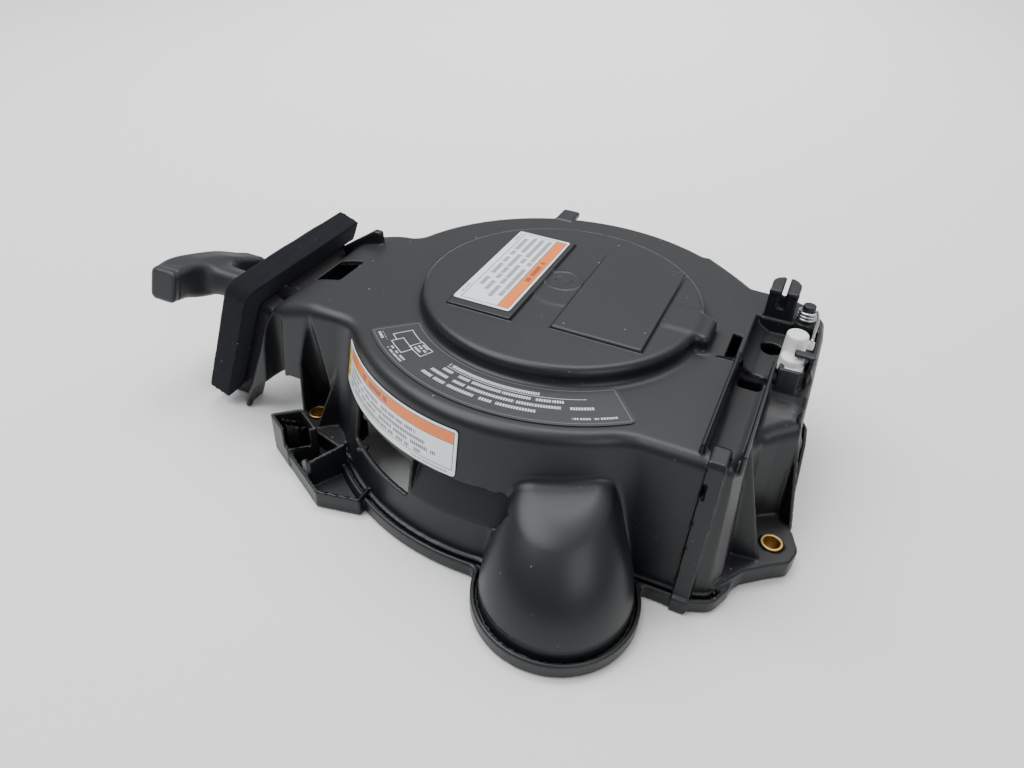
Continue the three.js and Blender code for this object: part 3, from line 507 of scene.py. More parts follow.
def cover():
    """The hollow moulding before its ribs, ears and small features."""
    s = Solid()
    s.add(cover_body())
    s.add(dome(), 5.0)
    s.add(block(60, 86.5, -12, 13, 70, 97, 3.5), 4.0)
    s.add(funnel(), 4.0)
    left, right = TROUGH_X - TROUGH_HALF, TROUGH_X + TROUGH_HALF
    s.cut(block(left, right, TROUGH_FROM, TROUGH_TO, TROUGH_Z, 110, 5.0), 0.8)
    x0, x1, y0, y1 = DECK
    s.cut(block(x0 + 6, x1, y0, y1, DECK_Z, 110, 2.0), 2.0)
    scoop_z = DECK_Z + DECK_SCOOP
    s.cut(bar((x0 + 10, y0, scoop_z), (x0 + 10, y1, scoop_z), DECK_SCOOP, 1.0), 1.0)
    s.cut(block(TROUGH_X - 6, TROUGH_X + 6, -14, -8, 68, 90, 1.5), 0.6)
    step = [(-70, 66), (-36, 66), (-24, 71), (-13, 73.5), (-9.6, 76), (-9.5, 100), (-70, 100)]
    s.cut(slab(step, 0, CORNER_X + 0.5, 160, 2.0), 7.0)
    s.cut(wall_groove(), 1.6)
    s.cut(collar_clearance(), 2.0)
    s.cut(tilted_band(-104, -70, 30, 51.5, 6.5), 0.6)
    s.hollow(WALL)
    return s


def flange(s):
    """Foot flange round the wall and the funnel, with a groove along its top."""
    cx, cy, foot_r = FUNNEL
    def footprint(x, y):
        disc = np.hypot(x, y) - DISC_BASE_R
        side = outline_distance(EXTENSION, x, y) - 5.5
        bell = np.hypot(x - cx, y - cy) - foot_r + 1.5
        return smin(smin(disc, side, 4.0), bell, 5.0)
    def rim(x, y, z):
        out = footprint(x, y)
        band = outside(out, -2.0, FLANGE_LIP)
        return rmax(band, outside(z, 0.0, FLANGE_H), 1.4)
    def groove(x, y, z):
        return rmax(np.abs(footprint(x, y) - 1.9) - 0.9, outside(z, 6.0, 20), 0.3)
    s.add((rim, (-140, -176, 0), (156, 140, FLANGE_H)), 1.0)
    s.cut((groove, (-140, -176, 6), (156, 140, FLANGE_H + 1)), 0.8)


def mounting_ears(s):
    right = [
        (114, -93), (122, -90), (132, -74), (145, -63), (152, -58), (153.5, -52), (150, -43), (136, -30),
        (114, -36),
    ]
    front = [
        (-96, -66), (-112, -62), (-126, -62), (-134, -67), (-134, -77), (-127, -83), (-112, -88), (-96, -92),
    ]
    px, py = EARS["rear"]
    rear = [
        (px - 20, 118), (px + 24, 112), (px + 13, py + 8), (px + 5, py + 11), (px - 6, py + 10),
        (px - 12, py + 5),
    ]
    for outline, corner in ((right, 6.0), (front, 1.5), (rear, 1.5)):
        s.add(prism(outline, 0, EAR_H, 1.2, corner), 2.0)
    s.add(rib((121, -69.5), (142, -66.5), EAR_H - 2, 88, 2.6), 1.2)
    s.add(rib((140, -22), (154, -36), EAR_H - 2, 78, 2.6), 1.2)
    s.add(rib((139, -5), (147, 5), 38, 62, 2.4), 1.4)
    s.add(rib((-97, -66), (-118, -84), EAR_H - 1, 85, 2.4), 1.4)
    s.add(rib((px - 10, 112), (px - 11, py + 4), EAR_H, 60, 2.4), 1.4)


def lead_tray(s):
    """Open tray for the leads, with a partition and a clip box."""
    base = [(-62, -108), (-62, -124), (-87, -129), (-137, -100), (-126, -89), (-108, -84), (-92, -92)]
    s.add(prism(base, 0, 2.5, 0.8), 1.2)
    def rim(x, y, z):
        edge = np.abs(outline_distance(base, x, y) + 1.1) - 1.1
        return rmax(edge, np.maximum(-z, z - 11.0), 0.6)
    s.add((rim, (-138, -130, 0), (-60, -83, 11)), 0.8)
    s.add(rib((-87, -99), (-98, -119), 20, 23, 2.2, 0.5), 0.8)
    s.add(rib((-98, -119), (-104, -116), 17, 23, 2.0, 0.5), 0.8)
    box_plan = [(-136, -100), (-119, -110), (-107, -99), (-124, -89)]
    def walls(x, y, z):
        edge = np.abs(outline_distance(box_plan, x, y)) - 1.0
        return rmax(edge, outside(z, 0.5, 26.5), 0.7)
    s.add((walls, (-138, -112, 0.5), (-105, -87, 26.5)), 0.8)
    s.cut(prism([(-121, -113), (-109, -102), (-112, -99), (-124, -110)], 14, 40, 1.5), 0.6)
    for over in (0.0, 5.5):
        down = 0.6 * over
        s.add(rib((-131 + over, -99 - down), (-123 + over, -92 - down), 20, 24, 1.4, 0.4), 0.6)


def rails_and_strap(s):
    """Trough rails, the strap over its mouth and the post at the front right corner."""
    for x in (101.9, 120.2):
        s.add(block(x, x + 1.9, TROUGH_FROM - 4, TROUGH_TO - 2, 82, PLATE_Z + 5.5, 0.7), 1.2)
    strap = [
        (-86, 85), (-86, 90.6), (-98.6, 90.6), (-100, 88), (-106.3, 10), (-108.6, 8.6), (-108.6, 0.4),
        (-100, 0.4), (-95.5, 85),
    ]
    s.add(slab(strap, 0, 107.0, 115.6, 0.5, 0.3), 0.5)
    s.cut(block(107.4, 109.2, -101.4, -96, 70, 79, 0.4), 0.3)


def cable_bracket(s):
    """Bracket with a forked top that holds the interlock cable's sleeve."""
    x, y, top = 115.0, 42.5, 105.6
    s.add(block(x - 8, x + 8, y, y + 3, 72, top, 0.8), 1.2)
    s.add(block(x - 8.8, x + 8.8, y - 1.2, y + 3.6, 74, 88, 0.8), 1.2)
    s.add(block(x - 8, x + 8, y, y + 12, top - 2.4, top, 0.5), 0.8)
    s.add(post(x, y + 12, top - 2.4, top, 8.0, 8.0, 0.5), 0.6)
    s.cut(block(x - 1.2, x + 1.2, y - 4, y + 26, 102.5, top + 3, 0.3), 0.3)
    s.cut(block(x - 2.1, x + 2.1, y - 4, y + 1.6, 97, 104, 0.5), 0.3)
    s.cut(bar((x, y - 4, 97), (x, y + 1.6, 97), 2.2, 0.2), 0.3)
    for side in (-1, 1):
        s.add(rib((x + 6.8 * side, y + 2), (x + 6.8 * side, y + 8), 89, 103, 1.8, 0.5), 0.8)


def lever_block(s):
    """Block in front of the lock lever, the hook over it and the stub behind it."""
    s.add(block(123.4, 135.2, -9.6, -6.4, 66, PLATE_Z + 1.5, 0.6), 0.8)
    s.add(block(123.4, 126.0, -9.4, -1, 76, PLATE_Z + 1.0, 0.6), 0.8)
    s.add(block(92.5, 106.0, -11.6, -10.4, 85, PLATE_Z + 1.1, 0.4), 0.4)
    s.add(block(137.7, 139.6, -2.8, 2.4, 80, 96.8, 0.5), 0.8)
    s.add(block(129, 139.6, -2.8, 2.4, 94.4, 96.8, 0.5), 0.6)
    px, py = SPRING_POST
    s.add(post(px, py, 80, 89.5, 7.6, 6.4, 0.8), 1.5)
    s.add(post(px, py, 88, 95.5, 2.6), 0.5)


def face_neck(s):
    """Neck that stands out of the raked face inside the seal."""
    c, n = math.cos(RAKE), math.sin(RAKE)
    def local(x, y, z):
        out = (SNOUT_FOOT - x) * c + z * n
        up = (x - SNOUT_FOOT) * n + z * c
        return out, y, up
    def f(x, y, z):
        out, side, up = local(x, y, z)
        across = np.abs(side + 20.0) - 46.0
        ring = np.abs(rmax(across, np.maximum(up - 75.0, -20 - up), 5.0) + 1.5) - 1.5
        return rmax(ring, outside(out, -1.5, 20.0), 0.6)
    def mouth(x, y, z):
        out, side, up = local(x, y, z)
        return np.maximum(np.maximum(np.abs(side + 20.0) - 40.0, up - 40.0), np.abs(out) - 8.0)
    s.add((f, (-204, -66, 0), (-150, 26, 90)), 1.0)
    s.cut((mouth, (-200, -62, -8), (-150, 22, 60)), 1.2)


def small_features(s):
    """Pads on the dome, ring mark, fin, rear tab, window frame and the ribs inside."""
    for x0, x1, y0, y1 in ((-50, -12, -47, 53), (9, 59, -43, 49)):
        s.add(block(x0, x1, y0, y1, 90, PAD_TOP, 0.7), 0.8)
    def ring(x, y, z):
        return np.hypot(np.hypot(x + 3, y - 7.5) - 10.5, z - DOME_TOP) - 0.55
    s.add((ring, (-14, -4, 96), (9, 19, 99)), 0.8)
    s.cut(post(-3, 7.5, DOME_TOP - 0.5, DOME_TOP + 4, 5.0, 5.0, 0.2), 0.4)
    fin = [(-130, 80), (-131, 93.5), (-134, 93.5), (-158, 77), (-156, 72)]
    s.add(slab(fin, 1, 12.6, 17.4, 1.2, 1.6), 1.6)
    hook = rib((-71.5, -98.4), (-75.6, -104.0), 33.5, 34.5, 3.4, 0.8)
    s.add(above(hook, 25), 0.8)
    s.add(block(-46, -34, 104, 121.5, 84.6, 88.6, 1.0), 1.2)
    s.add(post(0, 0, 50.5, 97, 8.0), 0.5)
    s.add(post(0, 0, 84, 97, 15, 19), 3.0)
    for i in range(6):
        angle = (i + 0.5) * math.pi / 3
        s.add(above(rib(polar(84, angle), polar(113, angle), 86, 86, 2.4), 78), 1.5)
    s.cut(post(0, 0, 30, 74, 3.2), 0.3)


def through_cuts(s):
    def window(x, y, z):
        turn = (np.arctan2(y, x) - math.radians(-117.5)) * WALL_MEAN_R
        return rmax(np.abs(turn) - 27.0, np.abs(z - 38.5 + 0.02 * turn) - 11.5, 2.5)
    s.cut((window, (-92, -130, 24), (-28, -90, 54)), 1.2)
    arch = [(-134, -12), (-134, 36), (-141, 36), (-150, 32), (-161, 24.5), (-170, 16), (-176, 5), (-178, -12)]
    s.cut(slab(arch, 1, -84, -58, 1.0), 1.0)
    s.cut(block(-144, -126, -38, -12, 60, 110, 1.2), 1.0)
    def oval(x, y, z):
        return np.maximum(np.hypot(x - 117, y - 24) - 6.0, outside(z, 60, 84))
    s.cut((oval, (111, 18, 60), (123, 30, 84)), 0.5)
    s.cut(block(96, 101, -10, 16, 60, 110, 0.5), 0.5)
    s.cut(block(136.6, 139.6, 9, 19, 60, 110, 1.4), 0.5)
    s.cut(bar((-205, PULL_Y, PULL_Z), (-152, PULL_Y, PULL_Z), 7.8, 0.2), 0.5)
    s.cut(bar((-152.2, PULL_Y, PULL_Z), (-135, PULL_Y, PULL_Z), 10.2, 0.2), 0.3)
    s.cut(post(*LEVER, 60, 100, 2.5), 0.3)
    for x, y in EARS.values():
        s.cut(post(x, y, -2, 40, 6.2), 0.6)
    s.cut(block(-300, 300, -300, 300, -60, 0, 0.0))  # nothing reaches below the flange


def housing():
    s = cover()
    flange(s)
    mounting_ears(s)
    lead_tray(s)
    rails_and_strap(s)
    cable_bracket(s)
    lever_block(s)
    face_neck(s)
    small_features(s)
    through_cuts(s)
    step = 1.25
    return solid_piece(
        "cover_shell", s, (-208, -178, -4), (166, 156, 110), step, "housing", "housing",
        slot="black_moulding", ratio=0.5,
    )


# ---------------------------------------------------------------- turned, swept and printed pieces
def rounded(points, radius, steps=3):
    """A closed outline with its corners turned into short curves."""
    out, n = [], len(points)
    for i in range(n):
        before, p, after = (np.array(points[k % n], float) for k in (i - 1, i, i + 1))
        back, on = before - p, after - p
        a, b = np.linalg.norm(back), np.linalg.norm(on)
        r = min(radius, 0.45 * a, 0.45 * b)
        start, end = p + back / a * r, p + on / b * r
        for t in np.linspace(0, 1, steps + 1):
            out.append((1 - t) ** 2 * start + 2 * t * (1 - t) * p + t * t * end)
    return out


def close_up(piece, sharp=35.0):
    """Joins doubled points, faces the surface outwards and keeps corners over this many degrees crisp."""
    bm = bmesh.new()
    bm.from_mesh(piece.data)
    bmesh.ops.remove_doubles(bm, verts=bm.verts, dist=1e-6)
    bmesh.ops.dissolve_degenerate(bm, edges=bm.edges, dist=1e-7)
    bmesh.ops.recalc_face_normals(bm, faces=bm.faces)
    bm.to_mesh(piece.data)
    bm.free()
    piece.data.set_sharp_from_angle(angle=math.radians(sharp))


def turned(name, outline, centre, axis, body, *replaced, slot, radius=0.4, segments=64):
    """A piece turned about an axis, from a closed outline of (radius, distance along the axis) points."""
    axis = Vector(axis).normalized()
    side = axis.orthogonal().normalized()
    other = axis.cross(side)
    ring = rounded(outline, radius)
    n = len(ring)
    p, faces = [], []
    for i in range(segments):
        angle = 2 * math.pi * i / segments
        out = side * math.cos(angle) + other * math.sin(angle)
        p += [Vector(centre) + axis * along + out * max(r, 0.0) for r, along in ring]
        j = (i + 1) % segments
        faces += [(i * n + k, j * n + k, j * n + (k + 1) % n, i * n + (k + 1) % n) for k in range(n)]
    piece = mesh_object(name, np.array(p), faces, body, *replaced, slot=slot)
    close_up(piece)
    return piece


def smooth_line(points, per_span=8):
    """A smooth curve through the points."""
    p = [np.array(q, float) for q in points]
    p = [2 * p[0] - p[1], *p, 2 * p[-1] - p[-2]]
    out = []
    for a, b, c, d in zip(p, p[1:], p[2:], p[3:]):
        for t in np.arange(per_span) / per_span:
            out.append(0.5 * (2 * b + (c - a) * t + (2 * a - 5 * b + 4 * c - d) * t ** 2
                              + (3 * b - a - 3 * c + d) * t ** 3))
    return np.array(out + [p[-2]])


def sweep(name, line, radius, body, *replaced, slot, sides=12, along=None):
    """A round bar along a line, with domed ends. Attribute "lay" holds the length along it, in
    millimetres, and the turn round it; along gives that length where it isn't the line's own."""
    line = np.array(line, float)
    steps = np.linalg.norm(np.diff(line, axis=0), axis=1)
    if along is None:
        along = np.concatenate([[0], np.cumsum(steps)])
    heading = np.gradient(line, axis=0)
    heading /= np.linalg.norm(heading, axis=1)[:, None]
    side = np.array(Vector(heading[0]).orthogonal().normalized())
    rows, lengths = [], []
    last = len(line) - 1
    for i, (q, h) in enumerate(zip(line, heading)):
        side = side - h * (side @ h)
        side /= np.linalg.norm(side)
        other = np.cross(h, side)
        angles = 2 * math.pi * np.arange(sides) / sides
        ring = np.cos(angles)[:, None] * side + np.sin(angles)[:, None] * other
        ends = {0: ((-0.5, 0.55), (0.0, 1.0)), last: ((0.0, 1.0), (0.5, 0.55))}
        for push, share in ends.get(i, ((0.0, 1.0),)):
            rows.append(q + h * push * radius + ring * radius * share)
            lengths.append(along[i] + push * radius)
    n = len(rows)
    p = np.concatenate([*rows, rows[0].mean(0)[None] - heading[0] * radius * 0.15,
                        rows[-1].mean(0)[None] + heading[-1] * radius * 0.15])
    faces = []
    for i in range(n - 1):
        for k in range(sides):
            m = (k + 1) % sides
            faces.append((i * sides + k, i * sides + m, (i + 1) * sides + m, (i + 1) * sides + k))
    for k in range(sides):
        m = (k + 1) % sides
        faces.append((n * sides, m, k))
        faces.append((n * sides + 1, (n - 1) * sides + k, (n - 1) * sides + m))
    piece = mesh_object(name, p, faces, body, *replaced, slot=slot)
    lay = piece.data.attributes.new("lay", "FLOAT_VECTOR", "CORNER")
    values = []
    for face in piece.data.polygons:
        turns = [v % sides for v in face.vertices]
        wraps = max(turns) - min(turns) > sides / 2
        for v, turn in zip(face.vertices, turns):
            row = min(v // sides, n - 1)
            values += [lengths[row], (turn + (sides if wraps and turn < sides / 2 else 0)) / sides, 0.0]
    lay.data.foreach_set("vector", values)
    return piece


def label_sheet(name, length, width, corner, place, body, *replaced, slot, columns=40, lines=8, thick=0.3):
    """Thin printed film. place gives a point from (along, across, lift); attribute "print" holds the
    first two, in millimetres."""
    arcs = [corner * (1 - math.cos(t)) for t in np.linspace(0, math.pi / 2, 6)]
    middle = np.linspace(corner, length - corner, columns + 1)[1:-1]
    stations = [*arcs, *middle, *[length - a for a in reversed(arcs)]]
    p, marks = [], []
    for lift in (0.0, thick):
        for a in stations:
            end = max(0.0, corner - min(a, length - a))
            margin = corner - math.sqrt(max(0.0, corner * corner - end * end))
            for b in np.linspace(margin, width - margin, lines + 1):
                p.append(place(a, b, lift))
                marks += [a, b, 0.0]
    n, m = len(stations), lines + 1
    layer = n * m
    faces = []
    for i in range(n - 1):
        for j in range(lines):
            q = (i * m + j, (i + 1) * m + j, (i + 1) * m + j + 1, i * m + j + 1)
            faces += [tuple(reversed(q)), tuple(v + layer for v in q)]
    rim = [i * m for i in range(n)] + [(n - 1) * m + j for j in range(1, m)]
    rim += [i * m + lines for i in range(n - 2, -1, -1)] + [j for j in range(lines - 1, 0, -1)]
    faces += [(a, b, b + layer, a + layer) for a, b in zip(rim, rim[1:] + rim[:1])]
    piece = mesh_object(name, np.array(p), faces, body, *replaced, slot=slot)
    mark = piece.data.attributes.new("print", "FLOAT_VECTOR", "POINT")
    mark.data.foreach_set("vector", marks)
    piece.data.set_sharp_from_angle(angle=math.radians(40))
    return piece


def trefoil(centre, size, axis):
    """The line of a pulled-tight overhand knot."""
    axis = Vector(axis).normalized()
    side = axis.orthogonal().normalized()
    other = axis.cross(side)
    out = []
    for t in np.linspace(0.25, 2 * math.pi - 0.25, 60):
        x = math.sin(t) + 2 * math.sin(2 * t)
        y = math.cos(t) - 2 * math.cos(2 * t)
        z = -math.sin(3 * t)
        out.append(np.array(Vector(centre) + (side * x + other * y + axis * z) * size / 3))
    return out


# ---------------------------------------------------------------- T-handle
# Its own frame: X out along the pull, Y along the grip, Z up.
GRIP_ROLL = math.radians(18)
HANDLE = (
    Matrix.Translation((BAR_X, PULL_Y, PULL_Z))
    @ Matrix.Rotation(math.pi, 4, "Z")
    @ Matrix.Rotation(GRIP_ROLL, 4, "X")
)
GRIP_HALF, GRIP_CAP, GRIP_BOW = 41.0, 6.0, 9.0
GRIP_DEEP, GRIP_TALL, GRIP_BACK = 9.2, 9.6, 1.1  # half sizes, and the middle's shift to the housing
NECK_END = BAR_X - NOSE_TIP + 0.3


def grip_bar(y0, y1, seam):
    """Stretch of the grip: a rounded square, bowed towards the housing at its ends."""
    def f(x, y, z):
        t = np.clip(y / GRIP_HALF, -1, 1)
        swell = 1 + 0.1 * (1 - t * t)
        u = np.abs(x + GRIP_BACK + GRIP_BOW * t * t) - GRIP_DEEP * swell
        v = np.abs(z) - GRIP_TALL * swell
        side = rmax(u, v, 4.0) / np.hypot(1, 2 * GRIP_BOW * t / GRIP_HALF)
        near, far = (2.2, seam) if abs(y0) > abs(y1) else (seam, 2.2)
        ends = np.where(y < (y0 + y1) / 2, y0 - y, y - y1)
        return np.where(y < (y0 + y1) / 2, rmax(side, ends, near), rmax(side, ends, far))
    return f, (-20, y0, -12), (12, y1, 12)


def handle_piece(name, solid, lowest, highest, step, *replaced):
    return solid_piece(name, solid, lowest, highest, step, "handle", *replaced, slot="rubber", place=HANDLE)


def handle():
    end = GRIP_HALF - GRIP_CAP
    grip = Solid()
    grip.add(grip_bar(-end + 0.1, end - 0.1, 0.35))
    def neck(x, y, z):
        wide = 8.3 + 0.02 * (x + 40) + 9.0 * ramp(x, -24, 4)
        tall = 8.6 + 0.9 * ramp(x, -30, -8)
        side = ((np.abs(y) / wide) ** 3.4 + (np.abs(z) / tall) ** 3.4 + 1e-9) ** (1 / 3.4)
        return rmax((side - 1) * 8.3, outside(x, NECK_END, 2), 1.0)
    grip.add((neck, (NECK_END, -16, -10), (2, 16, 10)), 9.0)
    grip.cut(bar((NECK_END - 2, 0, 0), (20, 0, 0), 3.2, 0.2), 0.5)
    grip.cut(bar((0, 0, 0), (20, 0, 0), 6.4, 0.3), 0.6)
    fine = 0.8
    handle_piece("handle_grip_rubber", grip, (-44, -38, -14), (14, 38, 14), fine, "handle_grip")
    for name, y0, y1 in (("near", end + 0.1, GRIP_HALF), ("far", -GRIP_HALF, -end - 0.1)):
        cap = Solid()
        cap.add(grip_bar(y0, y1, 0.35))
        node = f"handle_cap_{name}"
        handle_piece(f"{node}_rubber", cap, (-24, y0 - 2, -14), (8, y1 + 2, 14), fine, node)


# ---------------------------------------------------------------- foam seal
SEAL = {"near": -81.0, "far": 31.0, "low": 4.0, "high": 91.0, "leg": 15.0, "back": 8.5, "front": 23.0}


def foam():
    c, n = math.cos(RAKE), math.sin(RAKE)
    near, far, low_edge, high_edge, leg = (SEAL[k] for k in ("near", "far", "low", "high", "leg"))
    outline = [
        (near, low_edge), (near, high_edge), (far, high_edge), (far, high_edge - leg),
        (near + leg, high_edge - leg), (near + leg, low_edge),
    ]
    middle, half = (SEAL["back"] + SEAL["front"]) / 2, (SEAL["front"] - SEAL["back"]) / 2
    def f(x, y, z):
        out = (SNOUT_FOOT - x) * c + z * n
        up = (x - SNOUT_FOOT) * n + z * c
        up = up - 0.9 * (1 - ((y + 25) / 56) ** 2)
        wave = 0.25 * np.sin(y * 0.21 + up * 0.13) + 0.15 * np.sin(up * 0.37 - y * 0.11 + out)
        corner = rmax(near - y, up - high_edge, 7.0)
        edge = np.maximum(outline_distance(outline, y, up), corner)
        inner = np.hypot(np.maximum(y - near - leg, 0), np.maximum(high_edge - leg - up, 0))
        edge = np.where((y > near + leg) & (up < high_edge - leg), inner, edge)
        return rmax(edge + wave * 0.5, np.abs(out - middle) - half, 0.6)
    s = Solid()
    s.add((f, (-208, -84, 0), (-156, 34, 100)))
    s.cut(bar((-215, PULL_Y, PULL_Z), (-150, PULL_Y, PULL_Z), 8.2, 0.2), 0.4)
    step = 1.3
    lowest, highest = (-207, -84, 2), (-155, 34, 98)
    piece = solid_piece("foam_strip", s, lowest, highest, step, "housing", "foam_seal", slot="foam")


# ---------------------------------------------------------------- labels
DOME_LABEL = (91.5, 33.6)


def dome_label():
    def place(a, b, lift):
        return (-15.2 - b, 50 - a, PAD_TOP + 0.3 + lift)
    name = "caution_label_dome"
    label_sheet(name, *DOME_LABEL, 1.6, place, "housing", "dome_label", slot="label_stock")


ARC_FROM, ARC_TO = math.radians(-137), math.radians(-50)
ARC_INNER, ARC_OUTER = 82.5, 110.5
ARC_MEAN = (ARC_OUTER + ARC_INNER) / 2
ARC_LABEL = ((ARC_TO - ARC_FROM) * ARC_MEAN, ARC_OUTER - ARC_INNER)


def arc_label():
    def place(a, b, lift):
        angle = ARC_FROM + a / ARC_MEAN
        radius = ARC_OUTER - b
        return (*polar(radius, angle), PLATE_Z + 0.3 + lift)
    name = "instruction_label_arc"
    label_sheet(name, *ARC_LABEL, 3.0, place, "housing", "arc_label", slot="dark_label", columns=90)


WALL_FROM, WALL_TO = math.radians(-140.5), math.radians(-92)
WALL_LOW, WALL_HIGH = 53.6, 80.0
WALL_LABEL_R = 122.0
WALL_LABEL = ((WALL_TO - WALL_FROM) * WALL_LABEL_R, WALL_HIGH - WALL_LOW)


def wall_label():
    def place(a, b, lift):
        angle = WALL_FROM + a / WALL_LABEL_R
        z = WALL_LOW + b
        radius = wall_radius(z) + 0.4 + lift
        return (*polar(radius, angle), z)
    name = "caution_label_wall"
    label_sheet(name, *WALL_LABEL, 2.0, place, "housing", "side_label", slot="label_stock", columns=60)


# ---------------------------------------------------------------- collars, guide, lock lever
UP = (0, 0, 1)


def collars():
    wall = [(4.3, 0), (5.95, 0), (5.95, 13), (4.3, 13)]
    for name, (x, y) in EARS.items():
        node = f"collar_{name}"
        turned(f"{node}_sleeve", wall, (x, y, 0), UP, "housing", node, slot="brass", radius=0.45)


def rope_guide():
    outline = [
        (3.4, 148), (10, 148), (10, 151.7), (7.6, 151.7), (7.6, 185), (12.5, 185.4), (12.5, 189), (3.4, 189),
    ]
    centre, pull = (0, PULL_Y, PULL_Z), (-1, 0, 0)
    turned("rope_guide_nose", outline, centre, pull, "housing", "rope_guide", slot="nylon", radius=1.2)


def lock_lever():
    x, y = LEVER
    s = Solid()
    s.add(post(x, y, 80.4, 102.0, 6.0, 5.7, 1.3))
    s.add(block(x - 3.6, x + 4.2, y - 7, y, 80.8, 91, 0.8), 0.8)
    s.add(post(x + 0.6, y - 7.2, 81.8, 92.6, 6.2, 6.1, 1.5), 0.3)
    s.add(post(x + 1.2, y - 8.2, 80.8, 88.2, 6.4, 6.4, 1.5), 0.3)
    s.add(block(x + 4.5, x + 9.3, y + 1, y + 5, 93, 97, 0.8), 0.8)
    s.cut(post(x, y, 70, 99.9, 2.45, 2.45, 0.1), 0.3)
    step = 0.45
    lowest, highest = (118, -8, 79), (140, 17, 104)
    solid_piece(
        "lock_lever_body", s, lowest, highest, step, "stop_lever", "stop_lever",
        slot="acetal", ratio=0.5,
    )
    arm = Solid()
    outline = [
        (x + 6, y - 5), (x + 6, y + 6), (x - 4, y + 6), (x - 34, y + 4), (x - 44, y - 2), (x - 46, y - 6),
        (x - 36, y - 3), (x - 6, y - 5),
    ]
    arm.add(prism(outline, 71, 75, 0.5))
    arm.cut(post(x, y, 60, 80, 2.45, 2.45, 0.1), 0.3)
    lowest, highest = (80, 0, 69), (137, 18, 77)
    solid_piece("stop_arm_plate", arm, lowest, highest, 0.8, "stop_lever", "stop_arm", slot="steel", ratio=0.6)
    pin = [(0, 62), (2.2, 62), (2.2, 99.4), (0, 99.4)]
    centre = (x, y, 0)
    turned("lever_pin_steel", pin, centre, UP, "housing", "lever_pin", slot="steel", radius=0.3, segments=40)


def lever_spring():
    x, y = SPRING_POST
    turns, coil_r, start = 3, 4.7, 90.4
    coil = [
        (x + coil_r * math.cos(t), y + coil_r * math.sin(t), start + 1.95 * (t - 0.35) / (2 * math.pi))
        for t in np.linspace(0.35, 2 * math.pi * turns + 0.2, turns * 24)
    ]
    lever_x, lever_y = LEVER
    leg = [
        (x + coil_r + 0.6, y - 5, 97.0), (x + coil_r + 1.3, y - 14, 98.0),
        (lever_x + 7.6, lever_y + 12, 98.8), (lever_x + 7.4, lever_y + 1, 99),
    ]
    line = np.concatenate([coil, smooth_line([coil[-1], *leg], 10)[1:]])
    sweep("lever_spring_wire", line, 0.8, "housing", "stop_spring", slot="steel", sides=10)
    stub = [(0, 95.6), (3.2, 95.6), (3.7, 96.4), (3.5, 99.5), (0, 99.5)]
    turned(
        "spring_cap_stub", stub, (x, y, 0), UP, "housing", "spring_cap", slot="nylon", radius=0.5, segments=40
    )


# ---------------------------------------------------------------- drum, rope and drive
RIM_R, GROOVE_R, CUP_R = 76.0, 60.0, 56.0
WEB_LOW, RING_RIB_R = 54.8, 50.0


def lathe_form(points, r):
    """Solid of revolution about the drum's axis, its edges rounded."""
    def f(x, y, z):
        return outline_distance(points, np.hypot(x, y), z + 0 * x) - r
    p = np.array(points)
    most = p[:, 0].max() + r
    return f, (-most, -most, p[:, 1].min() - r), (most, most, p[:, 1].max() + r)


def drum():
    s = Solid()
    a = 0.6
    profile = [
        (10.6 + a, 51 + a), (17 - a, 51 + a), (17 - a, 57 + a), (RIM_R - a, 57 + a), (RIM_R - a, 60 - a),
        (GROOVE_R + 1 - a, 62 - a), (GROOVE_R - a, 63), (GROOVE_R - a, 71), (GROOVE_R + 1 - a, 72 + a),
        (RIM_R - a, 74 + a), (RIM_R - a, 77 - a), (CUP_R + a, 77 - a), (CUP_R + a, 60 - a), (13 - a, 60 - a),
        (13 - a, 81 - a), (10.6 + a, 81 - a),
    ]
    s.add(lathe_form(profile, a))
    for i in range(12):
        angle = 2 * math.pi * i / 12
        web = rib(polar(RING_RIB_R, angle), polar(RIM_R - 1.5, angle), 57.5, 57.5, 2.0, 0.5)
        s.add(above(web, WEB_LOW, 0.4), 0.8)
    def ring_rib(x, y, z):
        return rmax(np.abs(np.hypot(x, y) - RING_RIB_R) - 1.1, outside(z, WEB_LOW, 58), 0.4)
    s.add((ring_rib, (-53, -53, WEB_LOW), (53, 53, 58)), 0.8)
    s.cut(post(40, -34, 50, 59, 5, 5, 0.3), 0.4)
    for i in range(8):
        angle = math.pi * i / 4
        s.cut(post(*polar(RIM_R + 1, angle), 73, 79, 3.5, 3.5, 0.2), 0.3)
    step = 1.2
    solid_piece(
        "sheave_drum_moulding", s, (-79, -79, 49), (79, 79, 83), step, "drum", "sheave_drum",
        slot="drum_moulding", ratio=0.6,
    )
    bush = [(8.1, 51), (10.2, 51), (10.2, 81), (8.1, 81)]
    turned("drum_bush_sleeve", bush, (0, 0, 0), UP, "drum", "drum_bush", slot="acetal", radius=0.3)


def clock_spring():
    """Flat strip wound in the drum's cup."""
    inner, outer, turns, thick, low_z, high_z = 19.0, 53.0, 9, 0.9, 61.2, 74.8
    p, faces = [], []
    stations = np.linspace(0, 2 * math.pi * turns, turns * 48 + 1)
    for t in stations:
        share = t / stations[-1]
        r = inner + (outer - inner) * share ** 0.8
        for side, z in ((-0.5, low_z), (0.5, low_z), (0.5, high_z), (-0.5, high_z)):
            p.append((*polar(r + side * thick, t), z))
    for i in range(len(stations) - 1):
        for k in range(4):
            m = (k + 1) % 4
            faces.append((4 * i + k, 4 * i + m, 4 * i + 4 + m, 4 * i + 4 + k))
    last = 4 * (len(stations) - 1)
    faces += [(3, 2, 1, 0), (last, last + 1, last + 2, last + 3)]
    name = "clock_spring_strip"
    piece = mesh_object(name, np.array(p), faces, "housing", "recoil_spring", slot="spring_steel")
    close_up(piece)


ROPE_R = 2.6


